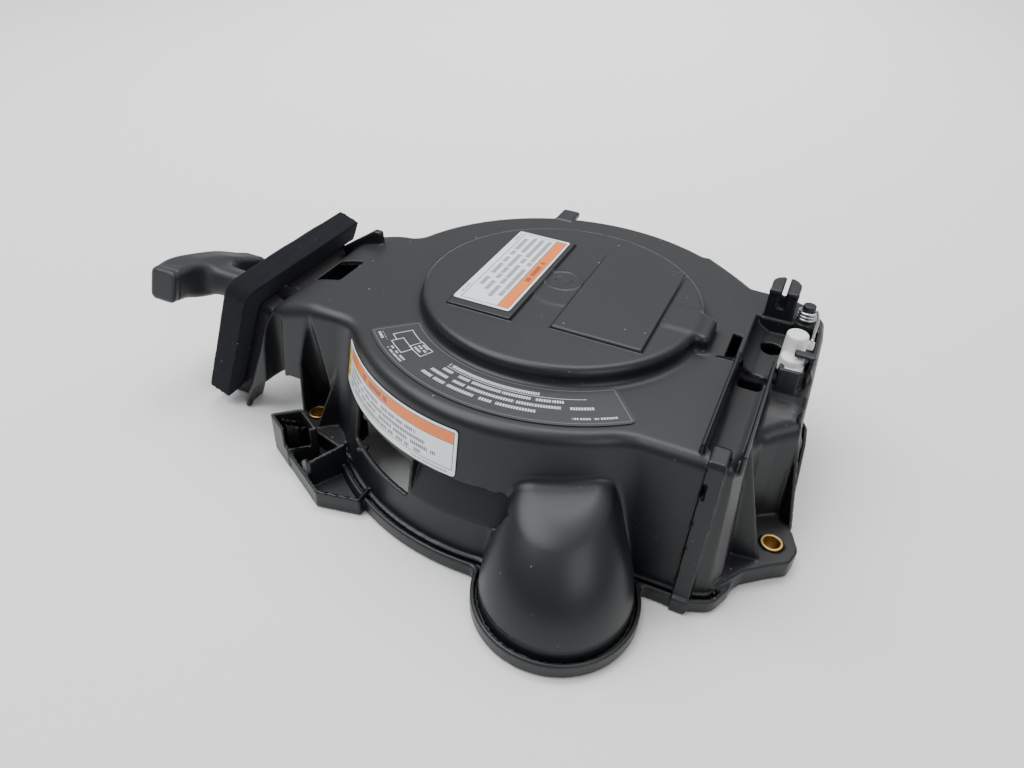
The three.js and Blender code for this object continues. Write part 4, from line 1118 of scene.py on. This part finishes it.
def rope():
    """Turns on the drum, the lead to the guide, the length that is pulled out, and both knots."""
    turn = np.linspace(0.3, 2 * math.pi * 3.05, 150)
    full = 4 * math.pi  # two turns fill the groove's width, and the third lies on them
    second = ramp(turn, full - 0.5, full + 0.3)
    layer = np.where(turn < full, turn / full, 1 - 0.5 * (turn - full) / (2 * math.pi))
    r = 63.0 + 2.6 * second
    z = 64.7 + 4.6 * np.clip(layer, 0, 1)
    wound = np.stack([r * np.cos(turn), -r * np.sin(turn), z], 1)
    sweep("rope_turns", wound, 2.25, "drum", "rope_wound", slot="rope", sides=12)
    leave = (*polar(71.4, -math.pi / 2 - 0.16), PULL_Z)
    route = [(-60, -61), (-110, -51), (-140, -45.2), (-152, PULL_Y), (-166, PULL_Y)]
    lead = [leave, *[(x, y, PULL_Z) for x, y in route]]
    sweep("rope_lead_inside", smooth_line(lead, 10), ROPE_R, "housing", "rope_lead", slot="rope", sides=16)
    knot = trefoil((40, -34, 55.6), 3.4, UP)
    sweep("rope_drum_end_knot", knot, 1.5, "drum", "rope_drum_knot", slot="rope", sides=10)
    tail = [(x, PULL_Y, PULL_Z) for x in (-216, -221, -226, BAR_X)]
    sweep("rope_tail_inside", tail, ROPE_R, "handle", "rope_tail", slot="rope", sides=16)
    knot = np.array([HANDLE @ Vector(q) for q in trefoil((2.6, 0, 0), 3.4, (1, 0, 0))])
    sweep("rope_handle_end_knot", knot, 1.5, "handle", "handle_rope_knot", slot="rope", sides=10)
    start, end, reach = -160.0, -220.0, 1200.0
    x = np.linspace(start + 3, end - 3, 140)
    t = np.clip((x - start) / (end - start), 0, 1)
    line = np.stack([x, np.full_like(x, PULL_Y), np.full_like(x, PULL_Z)], 1)
    along = start - x + reach * t * t * (3 - 2 * t)
    out = sweep("rope_pulled_out", line, ROPE_R - 0.1, None, slot="rope", sides=16, along=along)
    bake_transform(out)


def handle_plug():
    disc = [(0, 6.1), (5.9, 6.1), (6.1, 6.6), (6.1, 9.1), (5.3, 9.6), (1.4, 9.6), (1.0, 9.1), (0, 9.1)]
    axis = HANDLE.to_3x3() @ Vector((1, 0, 0))
    turned(
        "handle_plug_disc", disc, HANDLE.translation, axis, "handle", "handle_plug",
        slot="rubber", radius=0.3, segments=48,
    )


PAWL_R = 30.0


def pawls():
    blade = [(-5, -5), (4, -6), (10, -3), (21, 1), (24, 5), (19, 6), (8, 5), (0, 6), (-5, 4)]
    wire = [(-3, -15), (-9, -13), (-11, -4), (-11, 6), (-8, 12), (-3, 18)]
    for i, centre_x in enumerate((PAWL_R, -PAWL_R)):
        turn = math.radians(180 * i - 75)
        def placed(points, angle):
            c, n = math.cos(angle), math.sin(angle)
            return [(centre_x + px * c + py * n, px * n - py * c) for px, py in points]
        s = Solid()
        s.add(prism(placed(blade, turn), 49.6, 54.4, 0.6, 0.0))
        s.cut(post(centre_x, 0, 40, 60, 3.1, 3.1, 0.1), 0.4)
        lowest = (centre_x - 27, -27, 48)
        highest = (centre_x + 27, 27, 56)
        body, node = f"pawl_{i + 1}", f"drive_pawl_{i + 1}"
        solid_piece(f"{body}_blade", s, lowest, highest, 0.8, body, node, slot="steel", ratio=0.5)
        pin = [(0, 47), (5.5, 47), (5.5, 49.2), (3, 49.2), (3, 58.5), (0, 58.5)]
        node = f"pawl_pin_{i + 1}"
        centre = (centre_x, 0, 0)
        turned(f"{node}_steel", pin, centre, UP, "drum", node, slot="steel", radius=0.4, segments=40)
        route = [(px, py, 52.0) for px, py in placed(wire, math.pi * i)]
        node = f"pawl_spring_{i + 1}"
        sweep(f"{node}_wire", smooth_line(route, 8), 0.7, "drum", node, slot="spring_steel", sides=10)


def centre_bolt():
    washer = [(3.3, 48.2), (15, 48.2), (15, 50.2), (3.3, 50.2)]
    centre, node = (0, 0, 0), "retaining_washer"
    turned(f"{node}_steel", washer, centre, UP, "housing", node, slot="steel", radius=0.35)
    s = Solid()
    def hexagon(x, y, z):
        flats = [np.abs(x * math.cos(t) + y * math.sin(t)) for t in (0, math.pi / 3, 2 * math.pi / 3)]
        head = np.maximum(np.maximum(*flats[:2]), flats[2]) - 5.5
        domed = np.sqrt(x * x + y * y + (z - 50.5) ** 2) - 8.7
        return rmax(np.maximum(head, domed), outside(z, 41.9, 47.9), 0.3)
    s.add((hexagon, (-7, -7, 41.9), (7, 7, 47.9)))
    s.add(post(0, 0, 47.0, 48.0, 6.4, 6.4, 0.2), 0.1)
    s.add(post(0, 0, 47, 69.5, 3.0, 3.0, 0.3), 0.1)
    lowest, highest = (-8, -8, 40), (8, 8, 71)
    solid_piece("pivot_bolt_steel", s, lowest, highest, 0.6, "housing", "pivot_bolt", slot="steel", ratio=0.5)


# ---------------------------------------------------------------- materials
class Paint:
    """A material and the few node calls that it is written with."""

    def __init__(self, name, **fixed):
        self.material = bpy.data.materials.new(name)
        self.material.use_nodes = True
        self.tree = self.material.node_tree
        self.shader = self.tree.nodes["Principled BSDF"]
        for socket, value in fixed.items():
            self.shader.inputs[socket.replace("_", " ")].default_value = value
        self.place = self.node("ShaderNodeTexCoord", out="Object")

    def node(self, kind, *values, out=0, **settings):
        """A node with its inputs set or linked in order; gives one output."""
        node = self.tree.nodes.new(kind)
        for key, value in settings.items():
            setattr(node, key, value)
        for socket, value in zip([s for s in node.inputs if s.enabled], values):
            self.feed(socket, value)
        return node.outputs[out]

    def feed(self, socket, value):
        if isinstance(value, bpy.types.NodeSocket):
            self.tree.links.new(value, socket)
        elif value is not None:
            socket.default_value = value

    def set(self, **linked):
        for socket, value in linked.items():
            self.feed(self.shader.inputs[socket.replace("_", " ")], value)

    def math(self, operation, *values):
        return self.node("ShaderNodeMath", *values, operation=operation)

    def times(self, a, b):
        return self.math("MULTIPLY", a, b)

    def plus(self, a, b):
        return self.math("ADD", a, b)

    def span(self, value, low, high, to_low=0.0, to_high=1.0):
        """The value's range mapped to another, clamped."""
        return self.node("ShaderNodeMapRange", value, low, high, to_low, to_high)

    def mix(self, share, a, b):
        node = self.tree.nodes.new("ShaderNodeMix")
        node.data_type = "RGBA"
        self.feed(node.inputs[0], share)
        self.feed(node.inputs[6], a)
        self.feed(node.inputs[7], b)
        return node.outputs[2]

    def noise(self, size, detail=2.0, rough=0.5, stretch=None, place=None):
        """Noise whose blotches are about this many millimetres across."""
        place = place or self.place
        if stretch:
            place = self.node("ShaderNodeVectorMath", place, stretch, operation="MULTIPLY")
        return self.node("ShaderNodeTexNoise", place, None, 1000.0 / size, detail, rough)

    def specks(self, size, share):
        """Small scattered spots: 1 in a spot; share is how many cells have one."""
        cells = self.tree.nodes.new("ShaderNodeTexVoronoi")
        self.feed(cells.inputs["Vector"], self.place)
        cells.inputs["Scale"].default_value = 1000.0 / size
        chance = self.node("ShaderNodeSeparateColor", cells.outputs["Color"])
        lucky = self.span(chance, 1 - share, 1 - share * 0.9)
        return self.times(self.span(cells.outputs["Distance"], 0.2, 0.1), lucky)

    def bump(self, height, strength, depth_mm, below=None):
        node = self.tree.nodes.new("ShaderNodeBump")
        node.inputs["Strength"].default_value = strength
        node.inputs["Distance"].default_value = depth_mm * MM
        self.feed(node.inputs["Height"], height)
        self.feed(node.inputs["Normal"], below)
        return node.outputs["Normal"]

    def upward(self):
        normal = self.node("ShaderNodeNewGeometry", out="Normal")
        return self.node("ShaderNodeSeparateXYZ", normal, out="Z")

    def attribute(self, name, out="Fac"):
        return self.node("ShaderNodeAttribute", attribute_name=name, out=out)


def moulded(name, colour, roughness, dust_and_top_light, wear, grain=0.09):
    """Satin moulded plastic: fine spark grain, patchy gloss, dust and a painted even lightening on upward
    faces, scuffed edges, hair scratches.
    """
    m = Paint(name, Specular_IOR_Level=0.4)
    patches = m.noise(22, 4, 0.6)
    fine = m.noise(0.7, 2, 0.5)
    base = m.mix(m.span(patches, 0.3, 0.7), (*colour, 1), tuple(c * 1.35 for c in colour) + (1,))
    top = m.span(m.upward(), 0.55, 0.98)
    # painted light: every upward face is lightened evenly, standing in for the brighter light that tops catch;
    # the patchy film after it is dust
    base = m.mix(m.times(top, dust_and_top_light * 0.9), base, (0.075, 0.078, 0.08, 1))
    film = m.times(m.times(m.span(m.noise(9, 5, 0.65), 0.42, 0.72), top), dust_and_top_light)
    base = m.mix(film, base, (0.16, 0.158, 0.15, 1))
    spots = m.math("MAXIMUM", m.specks(1.7, 0.008), m.specks(3.4, 0.022))
    spots = m.times(spots, m.plus(m.times(top, 0.75), 0.2))
    base = m.mix(m.times(spots, 0.45), base, (0.45, 0.44, 0.42, 1))
    edge = m.attribute("edge")
    worn = m.times(m.span(edge, 0.3, 0.75), m.span(m.noise(3.0, 5, 0.7), 0.5, 0.72))
    base = m.mix(m.times(worn, wear), base, (0.2, 0.2, 0.205, 1))
    hair = m.noise(2.2, 3, 0.5, stretch=(1.0, 0.045, 0.3))
    across = m.noise(2.0, 3, 0.5, stretch=(0.05, 1.0, 0.3))
    lines = m.math("MAXIMUM", m.span(hair, 0.705, 0.73), m.span(across, 0.72, 0.745))
    lines = m.times(lines, m.span(m.noise(40, 2), 0.5, 0.62))
    base = m.mix(m.times(lines, 0.25), base, (0.2, 0.2, 0.2, 1))
    rough = m.span(patches, 0.25, 0.75, roughness - 0.05, roughness + 0.07)
    rough = m.plus(rough, m.times(m.plus(film, m.plus(worn, lines)), 0.25))
    height = m.plus(fine, m.plus(m.times(spots, 2.0), m.times(lines, -1.5)))
    m.set(Base_Color=base, Roughness=rough, Normal=m.bump(height, 1.0, grain))
    return m.material


def foam_paint():
    m = Paint("foam", Specular_IOR_Level=0.2, Sheen_Weight=0.14, Sheen_Roughness=0.5)
    m.shader.inputs["Sheen Tint"].default_value = (0.3, 0.32, 0.4, 1)
    cells = m.noise(0.9, 3, 0.6)
    patches = m.noise(14, 3)
    base = m.mix(m.span(patches, 0.3, 0.7), (0.0045, 0.005, 0.0068, 1), (0.0085, 0.0092, 0.0118, 1))
    spots = m.math("MAXIMUM", m.specks(2.0, 0.02), m.specks(4, 0.03))
    base = m.mix(m.times(spots, 0.45), base, (0.2, 0.2, 0.2, 1))
    height = m.plus(cells, m.times(m.noise(5, 2), 1.5))
    m.set(Base_Color=base, Roughness=m.span(patches, 0.3, 0.7, 0.86, 0.98), Normal=m.bump(height, 1.0, 0.22))
    return m.material


def rubber_paint():
    m = Paint("rubber", Specular_IOR_Level=0.45)
    patches = m.noise(16, 4, 0.6)
    base = m.mix(m.span(patches, 0.3, 0.7), (0.016, 0.0168, 0.019, 1), (0.026, 0.027, 0.03, 1))
    rubbed = m.span(m.noise(4.5, 6, 0.75), 0.57, 0.72)
    scuff = m.times(rubbed, m.span(m.attribute("edge"), 0.02, 0.5, 0.12, 1.0))
    base = m.mix(m.times(scuff, 0.5), base, (0.2, 0.195, 0.19, 1))
    spots = m.specks(2.4, 0.02)
    base = m.mix(m.times(spots, 0.4), base, (0.4, 0.4, 0.38, 1))
    rough = m.plus(m.span(patches, 0.25, 0.75, 0.42, 0.55), m.times(scuff, 0.25))
    height = m.plus(m.noise(0.55, 2), m.times(scuff, 0.4))
    m.set(Base_Color=base, Roughness=rough, Normal=m.bump(height, 1.0, 0.07))
    return m.material


def metal(name, colour, roughness, brushed=0.35, stain=(0.2, 0.17, 0.12, 1), dirt=0.25):
    m = Paint(name, Metallic=1.0)
    patches = m.noise(5, 4, 0.6)
    dirty = m.times(m.span(m.noise(2.4, 5, 0.7), 0.5, 0.7), dirt)
    base = m.mix(m.span(patches, 0.3, 0.7), tuple(c * 0.85 for c in colour) + (1,), (*colour, 1))
    base = m.mix(dirty, base, stain)
    lines = m.noise(0.5, 2, 0.5, stretch=(1, 1, 0.08))
    rough = m.plus(m.span(patches, 0.2, 0.8, roughness - 0.07, roughness + 0.1), m.times(dirty, 0.4))
    m.set(Base_Color=base, Roughness=rough, Normal=m.bump(lines, brushed, 0.03))
    return m.material


def white_plastic():
    m = Paint("acetal", Subsurface_Weight=0.12, Subsurface_Scale=0.002)
    patches = m.noise(6, 3)
    # blotchy darkening, stronger the further a face points sideways and down
    blotches_darker_below = m.times(m.span(m.noise(3.5, 5, 0.7), 0.55, 0.75), m.span(m.upward(), 0.9, -0.2, 0.15, 0.6))
    base = m.mix(m.span(patches, 0.3, 0.7), (0.78, 0.79, 0.79, 1), (0.84, 0.845, 0.84, 1))
    base = m.mix(blotches_darker_below, base, (0.42, 0.4, 0.36, 1))
    rough = m.span(patches, 0.3, 0.7, 0.28, 0.4)
    m.set(Base_Color=base, Roughness=rough, Normal=m.bump(m.noise(0.8, 2), 0.5, 0.05))
    return m.material


def rope_paint():
    """Braid: two sets of strands that cross over each other round the rope."""
    m = Paint("rope", Specular_IOR_Level=0.3, Sheen_Weight=0.3)
    lay = m.attribute("lay", out="Vector")
    along = m.node("ShaderNodeSeparateXYZ", lay, out="X")
    turn = m.node("ShaderNodeSeparateXYZ", lay, out="Y")
    pitch, strands = 9.0, 6.0
    def strand_waves(way):
        phase = m.math(way, m.times(turn, strands), m.times(along, strands / pitch))
        return m.math("SINE", m.times(phase, 2 * math.pi))
    left, right = strand_waves("ADD"), strand_waves("SUBTRACT")
    weave = m.math("MAXIMUM", m.math("ABSOLUTE", left), m.math("ABSOLUTE", right))
    fibre = m.noise(0.35, 3, 0.6)
    # painted shade: the gaps where both strand sets dip are coloured darker than the strands' crests
    base = m.mix(m.span(weave, 0.5, 1.0), (0.33, 0.31, 0.27, 1), (0.68, 0.665, 0.62, 1))
    tracer = m.times(m.span(left, 0.86, 0.93), m.span(m.math("SINE", m.times(turn, 2 * math.pi)), 0.5, 0.6))
    base = m.mix(tracer, base, (0.06, 0.09, 0.16, 1))
    base = m.mix(m.times(m.noise(6, 4), 0.35), base, (0.3, 0.28, 0.25, 1))
    height = m.plus(weave, m.times(fibre, 0.4))
    m.set(Base_Color=base, Roughness=m.span(fibre, 0.3, 0.7, 0.75, 0.92), Normal=m.bump(height, 1.0, 0.35))
    return m.material


class Print(Paint):
    """Printed film: flat shapes drawn from the film's own millimetres."""

    def __init__(self, name, film, **fixed):
        super().__init__(name, **fixed)
        mark = self.attribute("print", out="Vector")
        self.a = self.node("ShaderNodeSeparateXYZ", mark, out="X")
        self.b = self.node("ShaderNodeSeparateXYZ", mark, out="Y")
        self.colour = (*film, 1)

    def within(self, value, low, high, soft=0.08):
        begun = self.span(value, low - soft, low + soft)
        return self.times(begun, self.span(value, high + soft, high - soft))

    def box(self, a0, a1, b0, b1):
        return self.times(self.within(self.a, a0, a1), self.within(self.b, b0, b1))

    def frame(self, a0, a1, b0, b1, line=0.5):
        inner = self.box(a0 + line, a1 - line, b0 + line, b1 - line)
        return self.times(self.box(a0, a1, b0, b1), self.math("SUBTRACT", 1.0, inner))

    def bars(self, a0, a1, b0, b1, pitch, tall, word=4.0, fill=0.8, seed=0.0):
        """Rows of short bars of uneven length, in place of print that could be read."""
        row = self.math("DIVIDE", self.math("SUBTRACT", self.b, b0), pitch)
        line = self.math("FLOOR", row)
        stripe = self.span(self.math("FRACT", row), tall + 0.06, tall)
        ragged = self.node("ShaderNodeTexWhiteNoise", self.node("ShaderNodeCombineXYZ", line, seed, 0.0))
        shifted = self.math("SUBTRACT", self.a, self.times(ragged, (a1 - a0) * -0.25))
        end = self.span(shifted, a1 + 0.1, a1 - 0.1)
        step = self.plus(self.math("DIVIDE", self.a, word), self.times(line, 0.37))
        cell = self.node("ShaderNodeCombineXYZ", self.math("FLOOR", step), line, seed)
        cell = self.node("ShaderNodeTexWhiteNoise", cell)
        gap_at = self.span(cell, 0.0, 1.0, 0.45, 1.3)
        solid = self.span(self.math("SUBTRACT", self.math("FRACT", step), gap_at), 0.04, 0.0)
        letters = self.span(self.math("FRACT", self.times(self.a, 0.78)), 0.66, 0.6, 1 - fill, 1.0)
        rows = self.times(self.box(a0, a1, b0, b1), self.times(stripe, end))
        return self.times(rows, self.times(solid, letters))

    def ink(self, mask, colour, strength=1.0):
        self.colour = self.mix(self.times(mask, strength), self.colour, (*colour, 1))

    def done(self, rough=0.34):
        fibre = self.noise(1.2, 3)
        soil = self.times(self.span(self.noise(12, 5, 0.65), 0.55, 0.8), 0.25)
        self.ink(soil, (0.4, 0.38, 0.35))
        self.set(Base_Color=self.colour, Roughness=self.span(fibre, 0.3, 0.7, rough - 0.04, rough + 0.08))
        self.set(Normal=self.bump(self.plus(fibre, self.times(self.noise(9, 2), 2.0)), 0.35, 0.05))
        return self.material


ORANGE = (0.85, 0.2, 0.035)
INK = (0.045, 0.05, 0.06)
FILM = (0.8, 0.82, 0.84)


def dome_label_paint():
    m = Print("label_dome", FILM)
    length, width = DOME_LABEL
    m.ink(m.box(2.4, length - 2.4, 1.8, 7.8), ORANGE)
    m.ink(m.bars(32, 60, 3.2, 6.6, 3.4, 0.8, word=7.5, fill=0.85, seed=1.0), (0.1, 0.04, 0.02))
    m.ink(m.frame(2.0, length - 2.0, 1.4, width - 3.8, 0.45), INK)
    m.ink(m.box(2.0, length - 2.0, 7.8, 8.25), INK)
    m.ink(m.bars(5, length - 4, 9.9, width - 4.6, 4.9, 0.5, word=9.0, seed=2.0), INK, 0.9)
    m.ink(m.bars(3, 14, width - 2.7, width - 0.9, 1.8, 0.7, word=3.0, seed=3.0), INK, 0.75)
    m.ink(m.bars(length - 17, length - 3, width - 2.7, width - 0.9, 1.8, 0.7, word=3.0, seed=4.0), INK, 0.75)
    return m.done()


def wall_label_paint():
    m = Print("label_wall", FILM)
    length, width = WALL_LABEL
    m.ink(m.box(1.4, 7.4, 4.0, width - 2.0), (0.8, 0.62, 0.05))
    m.ink(m.bars(2.0, 7.0, 4.6, width - 3.0, 6.4, 0.6, word=2.4, seed=7.0), INK, 0.85)
    m.ink(m.box(8.6, length - 2.0, width - 7.6, width - 1.6), ORANGE)
    heading = m.bars(30, 62, width - 6.4, width - 2.6, 3.8, 0.75, word=7.5, fill=0.75, seed=5.0)
    m.ink(heading, (0.12, 0.06, 0.04))
    m.ink(m.frame(8.2, length - 1.6, 3.4, width - 1.2, 0.4), INK)
    m.ink(m.box(8.2, length - 1.6, width - 8.0, width - 7.6), INK)
    m.ink(m.bars(10.5, length - 4, 4.4, width - 8.8, 3.3, 0.58, word=6.5, seed=6.0), INK, 0.92)
    m.ink(m.bars(length - 27, length - 4, 1.0, 2.9, 1.9, 0.6, word=3.0, seed=8.0), INK, 0.7)
    return m.done()


def arc_label_paint():
    length = ARC_LABEL[0]
    m = Print("label_arc", (0.03, 0.033, 0.036), Specular_IOR_Level=0.5)
    white = (0.75, 0.76, 0.76)
    m.ink(m.frame(1.6, length - 1.6, 1.6, 26.4, 0.22), (0.2, 0.21, 0.22))
    m.ink(m.frame(13.5, 25.5, 7.6, 14.6, 0.36), white)
    m.ink(m.frame(22.0, 33.5, 14.0, 22.0, 0.36), white)
    m.ink(m.box(8.0, 14.0, 10.5, 10.86), white)
    m.ink(m.box(8.0, 8.36, 10.5, 21.4), white)
    m.ink(m.box(8.0, 22.0, 21.1, 21.46), white)
    m.ink(m.bars(24.2, 32.0, 15.6, 21.2, 2.3, 0.5, word=3.4, seed=11.0), white, 0.9)
    m.ink(m.bars(4.0, 13.0, 3.6, 6.2, 2.4, 0.55, word=4.0, seed=12.0), white, 0.8)
    m.ink(m.bars(18.0, 34.0, 3.4, 7.2, 2.1, 0.5, word=4.0, seed=13.0), white, 0.8)
    for k, (start, end) in enumerate(((49, 116), (49, 124), (45, 132), (43, 112))):
        low_b = 20.6 - 4.5 * k
        line = m.bars(start, end, low_b, low_b + 2.1, 2.1, 0.95, word=8.5, fill=0.9, seed=20.0 + k)
        m.ink(line, white, 0.85)
    m.ink(m.box(49, 128, 19.5, 19.8), white, 0.85)
    m.ink(m.bars(length - 27, length - 6, 4.4, 6.0, 1.6, 0.8, word=3.0, seed=30.0), white, 0.8)
    return m.done(0.38)


PAINTS = {
    "black_moulding": moulded("black_moulding", (0.0062, 0.0068, 0.008), 0.37, 0.16, 0.5),
    "nylon": moulded("nylon", (0.014, 0.015, 0.016), 0.36, 0.05, 0.3, 0.05),
    "drum_moulding": moulded("drum_moulding", (0.02, 0.021, 0.022), 0.42, 0.0, 0.4),
    "foam": foam_paint(),
    "rubber": rubber_paint(),
    "brass": metal("brass", (0.62, 0.42, 0.16), 0.34, 0.3, (0.16, 0.11, 0.05, 1)),
    "steel": metal("steel", (0.66, 0.67, 0.68), 0.26),
    "spring_steel": metal("spring_steel", (0.24, 0.25, 0.27), 0.32, 0.5, (0.1, 0.08, 0.05, 1)),
    "acetal": white_plastic(),
    "rope": rope_paint(),
}
OWN_PAINT = {
    "caution_label_dome": dome_label_paint(),
    "caution_label_wall": wall_label_paint(),
    "instruction_label_arc": arc_label_paint(),
}


# ---------------------------------------------------------------- the object
for make in (
    housing, handle, foam, dome_label, arc_label, wall_label, collars, rope_guide, lock_lever, lever_spring,
    drum, clock_spring, rope, handle_plug, pawls, centre_bolt,
):
    make()

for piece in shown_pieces():
    piece.data.materials.clear()
    piece.data.materials.append(OWN_PAINT.get(piece.name) or PAINTS[piece["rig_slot"]])


# ---------------------------------------------------------------- floor and light
def pale_floor():
    """Plain pale floor, wide enough for every view."""
    reach = 12.0
    mesh = bpy.data.meshes.new("floor")
    corners = [(x * reach, y * reach, 0) for x, y in ((-1, -1), (1, -1), (1, 1), (-1, 1))]
    mesh.from_pydata(corners, [], [(0, 1, 2, 3)])
    paint = bpy.data.materials.new("floor")
    paint.use_nodes = True
    shader = paint.node_tree.nodes["Principled BSDF"].inputs
    shader["Base Color"].default_value = (0.88, 0.88, 0.865, 1)
    shader["Roughness"].default_value = 0.6
    mesh.materials.append(paint)
    floor = bpy.data.objects.new("floor", mesh)
    floor.location.z = -0.0005
    bpy.context.collection.objects.link(floor)


def area_light(name, place, aim, size, power, colour=(1, 1, 1), spread=180):
    data = bpy.data.lights.new(name, "AREA")
    data.shape = "RECTANGLE"
    data.size, data.size_y = size
    data.energy = power
    data.color = colour
    data.spread = math.radians(spread)
    light = bpy.data.objects.new(name, data)
    light.location = place
    light.visible_camera = False
    light.rotation_euler = (Vector(aim) - Vector(place)).to_track_quat("-Z", "Y").to_euler()
    bpy.context.collection.objects.link(light)


pale_floor()
area_light("key", (-0.75, -0.35, 1.6), (0, 0, 0), (1.5, 1.2), 32, (0.97, 0.985, 1.0))
area_light("fill", (1.3, -0.9, 1.1), (0, 0, 0), (0.9, 0.9), 8)
area_light("back", (0.2, 1.0, 1.5), (0, 0.1, 0), (1.6, 0.5), 7)
area_light("far_floor", (-0.3, 2.4, 2.6), (-0.4, 2.4, 0), (4.0, 1.6), 45, spread=70)
world = bpy.data.worlds.new("world")
world.use_nodes = True
world.node_tree.nodes["Background"].inputs["Color"].default_value = (0.93, 0.95, 1.0, 1)
world.node_tree.nodes["Background"].inputs["Strength"].default_value = 0.42
bpy.context.scene.world = world
